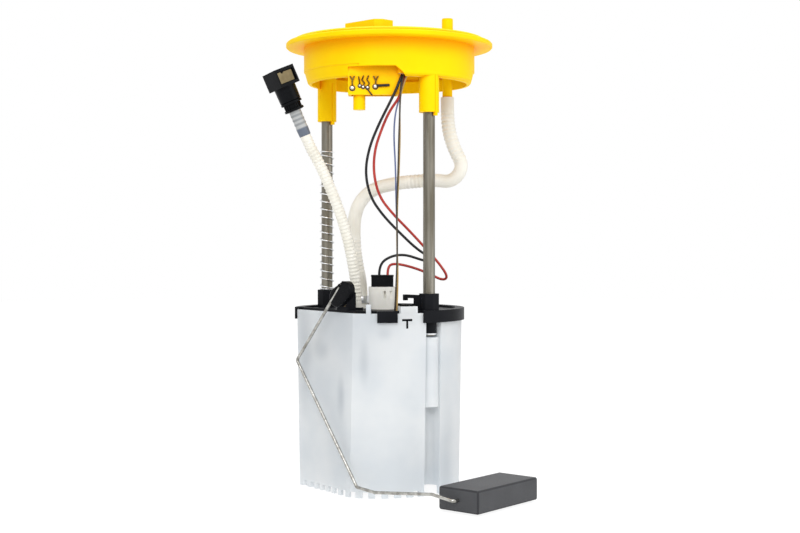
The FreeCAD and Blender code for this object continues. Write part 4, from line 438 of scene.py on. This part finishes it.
laid = {}
cords = {
    "outletHose": {"node": "outlet_hose", "finish": "hoseCream", "slot": "hose_plastic", "radius": 0.0047,
                   "step": 0.0004, "ribDepth": 0.0002, "ribPitch": 0.0027, "length": 0.2054,
                   "stiffness": "stiff", "end": "object",
                   "bend": ((-0.0160, 0.0020, 0.2110), (0.0216, 0.0376, 0.2110)),
                   "ribbed": [(0.0200, 0.0480), (0.1080, 0.1300), (0.1560, 0.1960)]},
    "transferHose": {"node": "transfer_hose", "finish": "hoseCream", "slot": "hose_plastic",
                     "radius": 0.0036, "step": 0.0003, "ribDepth": 0.0002, "ribPitch": 0.0025,
                     "length": 0.1236, "stiffness": "stiff", "end": "connector",
                     "ribbed": [(0.0030, 0.1226)]},
    "wireBlack": {"node": "wire_black", "slot": "wire_black", "radius": 0.0009, "length": 0.2062},
    "wireRed": {"node": "wire_red", "slot": "wire_red", "radius": 0.0009, "length": 0.2176},
    "wireBlue": {"node": "wire_blue", "slot": "wire_blue", "radius": 0.00055, "length": 0.1597},
    "wireTan": {"node": "wire_tan", "slot": "wire_tan", "radius": 0.00055, "length": 0.1599},
    "wireBrown": {"node": "wire_brown", "slot": "wire_brown", "radius": 0.00055, "length": 0.1602},
}
usual = {"step": 0.0012, "ribDepth": 0.0, "ribPitch": 0.0025, "fade": 0.004}

for name, cord in cords.items():
    route = layRoute(name)
    values = {"Route": route, "Finish": materials[cord.get("finish", name)], "Radius": cord["radius"],
              "Step": cord.get("step", usual["step"]),
              "Rib Depth": cord.get("ribDepth", usual["ribDepth"]),
              "Rib Pitch": cord.get("ribPitch", usual["ribPitch"]), "Fade": usual["fade"]}
    for number, (start, end) in enumerate(cord.get("ribbed", []), 1):
        values["Start " + str(number)] = start
        values["End " + str(number)] = end
    piece = grow(name, hoseTree, values)
    path = centreline(route)
    bpy.data.objects.remove(route)
    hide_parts(cord["node"])
    if name == "transferHose":
        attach(piece, "pot_body")
    else:
        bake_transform(piece)
    laid[name] = (piece, path)
print("hoses and wires:", len(cords))


# Return spring on the left guide rod

spring = {"Radius": 0.00485, "Wire": 0.00045, "Height": 0.1006, "Turns": 19.6, "Low": 0.1346,
          "X": -0.0512, "Y": -0.0033}


def makeSpringTree():
    tree, sizes = startTree("compressionSpring", spring)
    spiral = put(tree, "GeometryNodeCurveSpiral", {"Resolution": roundness["coil"],
                                                   "Rotations": sizes["Turns"],
                                                   "Start Radius": sizes["Radius"],
                                                   "End Radius": sizes["Radius"], "Height": 0.0})
    factor = put(tree, "GeometryNodeSplineParameter").outputs["Factor"]
    endTurn = maths(tree, "DIVIDE", 1.0, sizes["Turns"])  # one closed turn at each end
    lastTurn = maths(tree, "SUBTRACT", 1.0, endTurn)
    wire = maths(tree, "MULTIPLY", sizes["Wire"], 2.0)
    # the two closed turns and the wire itself take up three of its diameters
    rise = maths(tree, "SUBTRACT", sizes["Height"], maths(tree, "MULTIPLY", wire, 3.0))
    seat = ranged(tree, factor, 0.0, endTurn, 0.0, wire)
    coils = ranged(tree, factor, endTurn, lastTurn, 0.0, rise)
    top = ranged(tree, factor, lastTurn, 1.0, 0.0, wire)
    height = maths(tree, "ADD", maths(tree, "ADD", seat, coils), maths(tree, "ADD", top, sizes["Wire"]))
    lifted = put(tree, "ShaderNodeCombineXYZ", {"X": sizes["X"], "Y": sizes["Y"],
                                                "Z": maths(tree, "ADD", height, sizes["Low"])})
    wound = put(tree, "GeometryNodeSetPosition", {"Geometry": spiral.outputs["Curve"],
                                                  "Offset": lifted.outputs["Vector"]})
    ring = put(tree, "GeometryNodeCurvePrimitiveCircle", {"Resolution": roundness["wire"],
                                                          "Radius": sizes["Wire"]})
    coil = put(tree, "GeometryNodeCurveToMesh", {"Curve": wound.outputs["Geometry"],
                                                 "Profile Curve": ring.outputs["Curve"], "Fill Caps": True})
    smooth = put(tree, "GeometryNodeSetShadeSmooth", {"Geometry": coil.outputs["Mesh"]})
    return endTree(tree, smooth.outputs["Geometry"], sizes["Finish"])


returnSpring = grow("returnSpring", makeSpringTree(), {**spring, "Finish": materials["springSteel"]})
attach(returnSpring, "pot_body")
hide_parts("return_spring")
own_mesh(returnSpring)
print("return spring")


# Solid shapes in one mesh, for the small pieces that follow

sharpTurn = 35  # degrees between two faces from which their edge is sharp


def startSolid():
    return bmesh.new()


def addRod(solid, start, end, radius, sides=16):
    run = Vector(end) - Vector(start)
    turn = Vector((0, 0, 1)).rotation_difference(run).to_matrix().to_4x4()
    place = Matrix.Translation((Vector(start) + Vector(end)) / 2) @ turn
    bmesh.ops.create_cone(solid, cap_ends=True, segments=sides, radius1=radius, radius2=radius,
                          depth=run.length, matrix=place)


def addBead(solid, place, radius):
    bmesh.ops.create_icosphere(solid, subdivisions=3, radius=radius, matrix=Matrix.Translation(place))


def addBlock(solid, place, size, bevel=0.0):
    made = bmesh.ops.create_cube(solid, size=1.0, matrix=place @ Matrix.Diagonal((*size, 1.0)))
    if bevel:
        edges = list({edge for vertex in made["verts"] for edge in vertex.link_edges})
        bmesh.ops.bevel(solid, geom=edges, offset=bevel, segments=3, profile=0.5, affect="EDGES")


def addSlab(solid, corners, inwards):
    front = [solid.verts.new(corner) for corner in corners]
    back = [solid.verts.new(Vector(corner) + Vector(inwards)) for corner in corners]
    solid.faces.new(front)
    solid.faces.new(list(reversed(back)))
    count = len(corners)
    for i in range(count):
        j = (i + 1) % count
        solid.faces.new((front[i], back[i], back[j], front[j]))


def addTurned(solid, shape, sides=48):
    rings = []
    for radius, height in shape:
        if radius:
            rings.append([solid.verts.new((radius * math.cos(2 * math.pi * i / sides),
                                           radius * math.sin(2 * math.pi * i / sides), height))
                          for i in range(sides)])
        else:
            rings.append([solid.verts.new((0, 0, height))] * sides)
    for low, high in zip(rings, rings[1:]):
        for i in range(sides):
            j = (i + 1) % sides
            corners = list(dict.fromkeys((low[i], low[j], high[j], high[i])))
            if len(corners) > 2:
                solid.faces.new(corners)
    bmesh.ops.remove_doubles(solid, verts=solid.verts, dist=1e-6)


def finishSolid(name, solid, finish, body):
    bmesh.ops.recalc_face_normals(solid, faces=solid.faces)
    mesh = bpy.data.meshes.new(name)
    solid.to_mesh(mesh)
    solid.free()
    mesh.polygons.foreach_set("use_smooth", [True] * len(mesh.polygons))
    mesh.set_sharp_from_angle(angle=math.radians(sharpTurn))
    mesh.materials.append(materials[finish])
    piece = addObject(name, mesh)
    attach(piece, body)
    return piece


# Terminals of the flange: pins in the shroud, forks and bent pins on the carrier's face, solder and leads.
# On the face the places are (along it to the right, height), in metres.

terminals = {
    "middle": (0.0246, -0.0294), "reach": 0.006,
    "forks": [(-0.0141, 0.0037), (0.0016, 0.0039)], "forkTop": 0.2799, "forkWaist": 0.2769,
    "forkFoot": 0.2732, "stem": 0.0009, "proud": 0.0012,
    "bent": [[(-0.0066, 0.2799), (-0.0076, 0.2775), (-0.0059, 0.2752), (-0.0069, 0.2730)],
             [(-0.0033, 0.2800), (-0.0043, 0.2775), (-0.0027, 0.2752), (-0.0039, 0.2726)],
             [(-0.0098, 0.2792), (-0.0093, 0.2766), (-0.0091, 0.2737)]],
    "drops": [(-0.0141, 0.2722, 0.0015), (-0.0091, 0.2737, 0.0009), (-0.0069, 0.2729, 0.0009),
              (-0.0039, 0.2725, 0.0010), (0.0013, 0.2732, 0.0015)],
    "tine": 0.0009, "notch": 0.0010, "bentProud": 0.0008, "bentRadius": 0.00045,
    "dropProud": 0.0004, "dropShadeBelow": 0.0003, "dropShadeHalf": 0.0002, "dropShadeWider": 0.0006,
    "pinCount": 5, "pinPitch": 0.006, "pinMiddle": (0.0025, -0.0126), "pinLow": 0.3115, "pinHigh": 0.3180,
    "pinWidth": 0.0016, "pinThickness": 0.0008, "pinBevel": 0.0002,
}
leads = [
    {"name": "thickLead", "finish": "wireBlack", "slot": "wire_black", "proud": 0.0009, "radius": 0.00085,
     "ends": [(0.0013, 0.2734), (0.0101, 0.2739)]},
    {"name": "thinLead", "finish": "wireBrown", "slot": "wire_brown", "proud": 0.0006, "radius": 0.00045,
     "ends": [(-0.0053, 0.2729), (-0.0009, 0.2673)]},
]


def onFace(along, height, proud=0.0):
    slant = math.sqrt(0.5)
    middle = terminals["middle"]
    out = terminals["reach"] + proud
    return Vector((middle[0] + (along + out) * slant, middle[1] + (along - out) * slant, height))


def makeTerminals():
    pins = startSolid()
    for i in range(terminals["pinCount"]):
        shift = (i - (terminals["pinCount"] - 1) / 2) * terminals["pinPitch"]
        middle = (terminals["pinMiddle"][0] + shift, terminals["pinMiddle"][1],
                  (terminals["pinLow"] + terminals["pinHigh"]) / 2)
        size = (terminals["pinWidth"], terminals["pinThickness"], terminals["pinHigh"] - terminals["pinLow"])
        addBlock(pins, Matrix.Translation(middle), size, terminals["pinBevel"])
    finishSolid("shroudPins", pins, "tinnedBrass", "flange_body")
    forks = startSolid()
    inwards = onFace(0, 0, -terminals["proud"]) - onFace(0, 0)
    half = terminals["stem"] / 2
    tine = terminals["tine"]
    foot = terminals["forkFoot"]
    waist = terminals["forkWaist"]
    top = terminals["forkTop"]
    for along, width in terminals["forks"]:
        shape = [(-half, foot), (half, foot), (half, waist), (width / 2, top), (width / 2 - tine, top),
                 (0, waist + terminals["notch"]), (tine - width / 2, top), (-width / 2, top), (-half, waist)]
        addSlab(forks, [onFace(along + right, up, terminals["proud"]) for right, up in shape], inwards)
    proud = terminals["bentProud"]
    for run in terminals["bent"]:
        for first, second in zip(run, run[1:]):
            addRod(forks, onFace(*first, proud), onFace(*second, proud), terminals["bentRadius"])
        for corner in run:
            addBead(forks, onFace(*corner, proud), terminals["bentRadius"])
    replaced = finishSolid("carrierPins", forks, "darkBrass", "flange_body")
    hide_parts("flange_terminals")
    # a dark brown disc a little below and behind each solder drop: painted shade round the drop's rim
    dropShade = startSolid()
    for along, height, radius in terminals["drops"]:
        low = height - terminals["dropShadeBelow"]
        addRod(dropShade, onFace(along, low, -terminals["dropShadeHalf"]), onFace(along, low, terminals["dropShadeHalf"]),
               radius + terminals["dropShadeWider"])
    finishSolid("solderFlux", dropShade, "dropShadeBrown", "flange_body")
    drops = startSolid()
    for along, height, radius in terminals["drops"]:
        addBead(drops, onFace(along, height, terminals["dropProud"]), radius)
    finishSolid("solderDrops", drops, "solder", "flange_body")
    for lead in leads:
        solid = startSolid()
        first, last = [onFace(*end, lead["proud"]) for end in lead["ends"]]
        addRod(solid, first, last, lead["radius"])
        addBead(solid, last, lead["radius"])
        finishSolid(lead["name"], solid, lead["finish"], "flange_body")


makeTerminals()
print("terminals")


# Quick connector: thin ribs between its two rings and raised lines round its neck

connector = {"start": sleeve["start"], "along": sleeve["along"], "facing": -8.0,
             "ribs": {"Count": 18, "Radius": 0.0054, "Width": 0.00045, "Depth": 0.0009, "Height": 0.0031,
                      "Low": 0.01965},
             "lines": {"Count": 2, "Pitch": 0.0029, "Radius": 0.0072, "Wire": 0.0002, "Low": 0.0303},
             "jacket": [(0.0064, 0.0243), (0.0071, 0.0247), (0.0073, 0.0345), (0.0061, 0.0345),
                        (0.0061, 0.0243), (0.0064, 0.0243)]}

# The release button's plate is narrower than its window, with a notch in its upper edge. Places are along the
# head to the right and up from its middle. The ridge is a thin upright line on the head beside it. The legs
# and the foot behind the plate are gloss black: painted shade in the recess round the plate.
button = {"front": 0.0075, "back": 0.0061, "middle": 0.0406, "ridge": 0.0071, "ridgeHalf": 0.0045,
          "ridgeOut": 0.00775, "ridgeWidth": 0.0003,
          "plate": [(-0.0063, -0.0037), (0.0047, -0.0037), (0.0050, 0.0033), (-0.0014, 0.0034),
                    (-0.0020, 0.0024), (-0.0033, 0.0026), (-0.0038, 0.0036), (-0.0063, 0.0036)],
          "legs": [-0.00555, 0.00555], "legWidth": 0.0015, "legHeight": 0.0040, "legEnd": -0.0045,
          "footBack": 0.0060, "footFront": 0.0065, "footWidth": 0.0124, "footHeight": 0.0074}


def makeRibTree():
    tree, sizes = startTree("ribsInRing", ("Radius", "Width", "Depth", "Height", "Low"), [("Count", "Int")])
    ring = put(tree, "GeometryNodeMeshCircle", {"Vertices": sizes["Count"], "Radius": sizes["Radius"]})
    size = put(tree, "ShaderNodeCombineXYZ", {"X": sizes["Depth"], "Y": sizes["Width"], "Z": sizes["Height"]})
    rib = put(tree, "GeometryNodeMeshCube", {"Size": size.outputs["Vector"]})
    outwards = put(tree, "GeometryNodeInputPosition").outputs["Position"]
    turn = put(tree, "FunctionNodeAlignRotationToVector", {"Vector": outwards}, axis="X", pivot_axis="Z")
    placed = put(tree, "GeometryNodeInstanceOnPoints", {"Points": ring.outputs["Mesh"],
                                                        "Instance": rib.outputs["Mesh"],
                                                        "Rotation": turn.outputs["Rotation"]})
    middle = maths(tree, "ADD", sizes["Low"], maths(tree, "MULTIPLY", sizes["Height"], 0.5))
    upwards = put(tree, "ShaderNodeCombineXYZ", {"Z": middle})
    lifted = put(tree, "GeometryNodeTransform", {"Geometry": placed.outputs["Instances"],
                                                 "Translation": upwards.outputs["Vector"]})
    return endTree(tree, lifted.outputs["Geometry"], sizes["Finish"])


def makeLineTree():
    tree, sizes = startTree("stackedRings", ("Pitch", "Radius", "Wire", "Low"), [("Count", "Int")])
    low = put(tree, "ShaderNodeCombineXYZ", {"Z": sizes["Low"]})
    step = put(tree, "ShaderNodeCombineXYZ", {"Z": sizes["Pitch"]})
    places = put(tree, "GeometryNodeMeshLine", {"Count": sizes["Count"],
                                                "Start Location": low.outputs["Vector"],
                                                "Offset": step.outputs["Vector"]}, mode="OFFSET")
    ring = put(tree, "GeometryNodeCurvePrimitiveCircle", {"Resolution": roundness["ring"],
                                                          "Radius": sizes["Radius"]})
    section = put(tree, "GeometryNodeCurvePrimitiveCircle", {"Resolution": roundness["line"],
                                                             "Radius": sizes["Wire"]})
    hoop = put(tree, "GeometryNodeCurveToMesh", {"Curve": ring.outputs["Curve"],
                                                 "Profile Curve": section.outputs["Curve"]})
    smooth = put(tree, "GeometryNodeSetShadeSmooth", {"Geometry": hoop.outputs["Mesh"]})
    placed = put(tree, "GeometryNodeInstanceOnPoints", {"Points": places.outputs["Mesh"],
                                                        "Instance": smooth.outputs["Geometry"]})
    return endTree(tree, placed.outputs["Instances"], sizes["Finish"])


lean = Vector((0, 0, 1)).rotation_difference(Vector(connector["along"])).to_matrix().to_4x4()
onConnector = Matrix.Translation(connector["start"]) @ lean @ Matrix.Rotation(
    math.radians(connector["facing"]), 4, "Z")
connectorTrim = []
for name, tree, sizes in (("connectorRibs", makeRibTree(), connector["ribs"]),
                          ("connectorLines", makeLineTree(), connector["lines"])):
    trim = grow(name, tree, {**sizes, "Finish": materials["glossBlack"]})
    trim.data.transform(onConnector)
    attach(trim, "pot_body")
    connectorTrim.append(trim)


def stand(solid):
    solid.transform(onConnector)
    return solid


def makeConnectorTrim():
    soft = startSolid()
    addTurned(soft, sleeve["shape"])
    cuff = finishSolid("hoseSleeve", stand(soft), "sleeveGrey", "pot_body")
    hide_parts("hose_sleeve")
    jacket = startSolid()
    addTurned(jacket, connector["jacket"])
    addBlock(jacket, Matrix.Translation((button["ridgeOut"], button["ridge"], button["middle"])),
             (button["ridgeWidth"], button["ridgeWidth"], 2 * button["ridgeHalf"]))
    collar = finishSolid("connectorJacket", stand(jacket), "glossBlack", "pot_body")
    plate = startSolid()
    addSlab(plate, [(button["front"], right, button["middle"] + up) for right, up in button["plate"]],
            (button["back"] - button["front"], 0, 0))
    face = finishSolid("buttonPlate", stand(plate), "buttonBeige", "button_body")
    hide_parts("release_button")
    # the button's legs and foot get the gloss black finish: painted shade where the window's recess shows
    # round the plate
    legs = startSolid()
    addBlock(legs, Matrix.Translation(((button["footBack"] + button["footFront"]) / 2, 0, button["middle"])),
             (button["footFront"] - button["footBack"], button["footWidth"], button["footHeight"]))
    for right in button["legs"]:
        halfway = (button["footBack"] + button["legEnd"]) / 2
        addBlock(legs, Matrix.Translation((halfway, right, button["middle"])),
                 (button["footBack"] - button["legEnd"], button["legWidth"], button["legHeight"]))
    shadedLegs = finishSolid("buttonLegs", stand(legs), "glossBlack", "button_body")
    return [cuff, collar, face, shadedLegs]


onHose = [nodes["quick_connector"], nodes["connector_seals"]] + connectorTrim + makeConnectorTrim()
for name, cord in cords.items():
    piece, path = laid[name]
print("connector trim")


# Small pieces on the pump, the clamp and the arm holder

plug = {"middle": (-0.0014, 0.0042), "width": 0.0160, "depth": 0.0120, "lipLow": 0.1448, "lipHigh": 0.1461,
        "direction": 45.0, "bevel": 0.0004}
clampEar = {"middle": (-0.0193, 0.0005), "reach": 0.0060, "direction": -38.0, "height": 0.1287,
            "size": (0.0016, 0.0034, 0.0036), "bevel": 0.0005}
latches = {"front": -0.0548, "beads": [(0.0186, 0.1404, 0.0013), (0.0218, 0.1424, 0.0011)]}

lip = startSolid()
turned = Matrix.Rotation(math.radians(plug["direction"]), 4, "Z")
addBlock(lip, Matrix.Translation((*plug["middle"], (plug["lipLow"] + plug["lipHigh"]) / 2)) @ turned,
         (plug["width"], plug["depth"], plug["lipHigh"] - plug["lipLow"]), plug["bevel"])
finishSolid("plugLip", lip, "glossBlack", "pot_body")

ear = startSolid()
turned = Matrix.Rotation(math.radians(clampEar["direction"]), 4, "Z")
outwards = turned @ Vector((clampEar["reach"], 0, 0))
addBlock(ear, Matrix.Translation((clampEar["middle"][0] + outwards.x, clampEar["middle"][1] + outwards.y,
                                  clampEar["height"])) @ turned, clampEar["size"], clampEar["bevel"])
finishSolid("clampEar", ear, "springSteel", "pot_body")

bumps = startSolid()
for x, z, radius in latches["beads"]:
    addBead(bumps, (x, latches["front"], z), radius)
finishSolid("wireLatches", bumps, "glossBlack", "arm_body")
print("plug lip, clamp ear and wire latches")


# Floor, light and camera

studio = {"floorRadius": 3.0, "floorHeight": -0.0002, "floorSides": 60, "floorColour": (0.9, 0.9, 0.9, 1.0),
          "shadow": 0.22, "bounce": 0.25, "daylight": 0.66, "white": 1.14, "aim": (0.0, 0.0, 0.17)}
lamps = [
    {"name": "keyLight", "place": (1.25, -1.35, 1.3), "width": 1.2, "power": 21.0},
    {"name": "fillLight", "place": (1.9, 0.6, 0.7), "width": 1.4, "power": 7.0},
    {"name": "topLight", "place": (-0.3, 0.3, 2.0), "width": 1.5, "power": 17.0},
]
view = {"place": (0.6819, -0.6616, 0.1705), "tilt": 90.0, "turn": 45.0, "lens": 61.07, "sensor": 36.0,
        "shift": -0.033}


def makeFloor():
    disc = bpy.data.meshes.new("floor")
    radius = studio["floorRadius"]
    turns = [math.radians(360 / studio["floorSides"] * i) for i in range(studio["floorSides"])]
    corners = [(radius * math.cos(turn), radius * math.sin(turn), studio["floorHeight"]) for turn in turns]
    disc.from_pydata(corners, [], [list(range(len(corners)))])
    floor = addObject("floor", disc)
    material = bpy.data.materials.new("floorWhite")
    material.use_nodes = True
    tree = material.node_tree
    tree.nodes.clear()
    matt = put(tree, "ShaderNodeBsdfDiffuse", {"Color": studio["floorColour"]})
    white = put(tree, "ShaderNodeEmission", {"Color": (1, 1, 1, 1), "Strength": studio["white"]})
    share = ranged(tree, seenDirectly(tree), 0.0, 1.0, studio["bounce"], 1 - studio["shadow"])
    mixed = put(tree, "ShaderNodeMixShader", {0: share, 1: matt.outputs[0], 2: white.outputs[0]})
    end = tree.nodes.new("ShaderNodeOutputMaterial")
    tree.links.new(mixed.outputs[0], end.inputs["Surface"])
    disc.materials.append(material)


def makeWorld():
    world = bpy.data.worlds.new("studio")
    bpy.context.scene.world = world
    world.use_nodes = True
    tree = world.node_tree
    tree.nodes.clear()
    strength = ranged(tree, seenDirectly(tree), 0.0, 1.0, studio["daylight"], 1.0)
    sky = put(tree, "ShaderNodeBackground", {"Color": (1, 1, 1, 1), "Strength": strength})
    end = tree.nodes.new("ShaderNodeOutputWorld")
    tree.links.new(sky.outputs[0], end.inputs["Surface"])


def addLamp(lamp):
    light = bpy.data.lights.new(lamp["name"], "AREA")
    light.shape = "SQUARE"
    light.size = lamp["width"]
    light.energy = lamp["power"]
    made = addObject(lamp["name"], light)
    made.location = lamp["place"]
    made.rotation_euler = (Vector(studio["aim"]) - Vector(lamp["place"])).to_track_quat("-Z", "Y").to_euler()


makeFloor()
makeWorld()
for lamp in lamps:
    addLamp(lamp)

camera = addObject("camera", bpy.data.cameras.new("camera"))
camera.data.lens = view["lens"]
camera.data.sensor_width = view["sensor"]
camera.data.shift_y = view["shift"]
camera.location = view["place"]
camera.rotation_euler = (math.radians(view["tilt"]), 0, math.radians(view["turn"]))
bpy.context.scene.camera = camera
bpy.context.scene.view_settings.view_transform = "Standard"

print("scene ready")
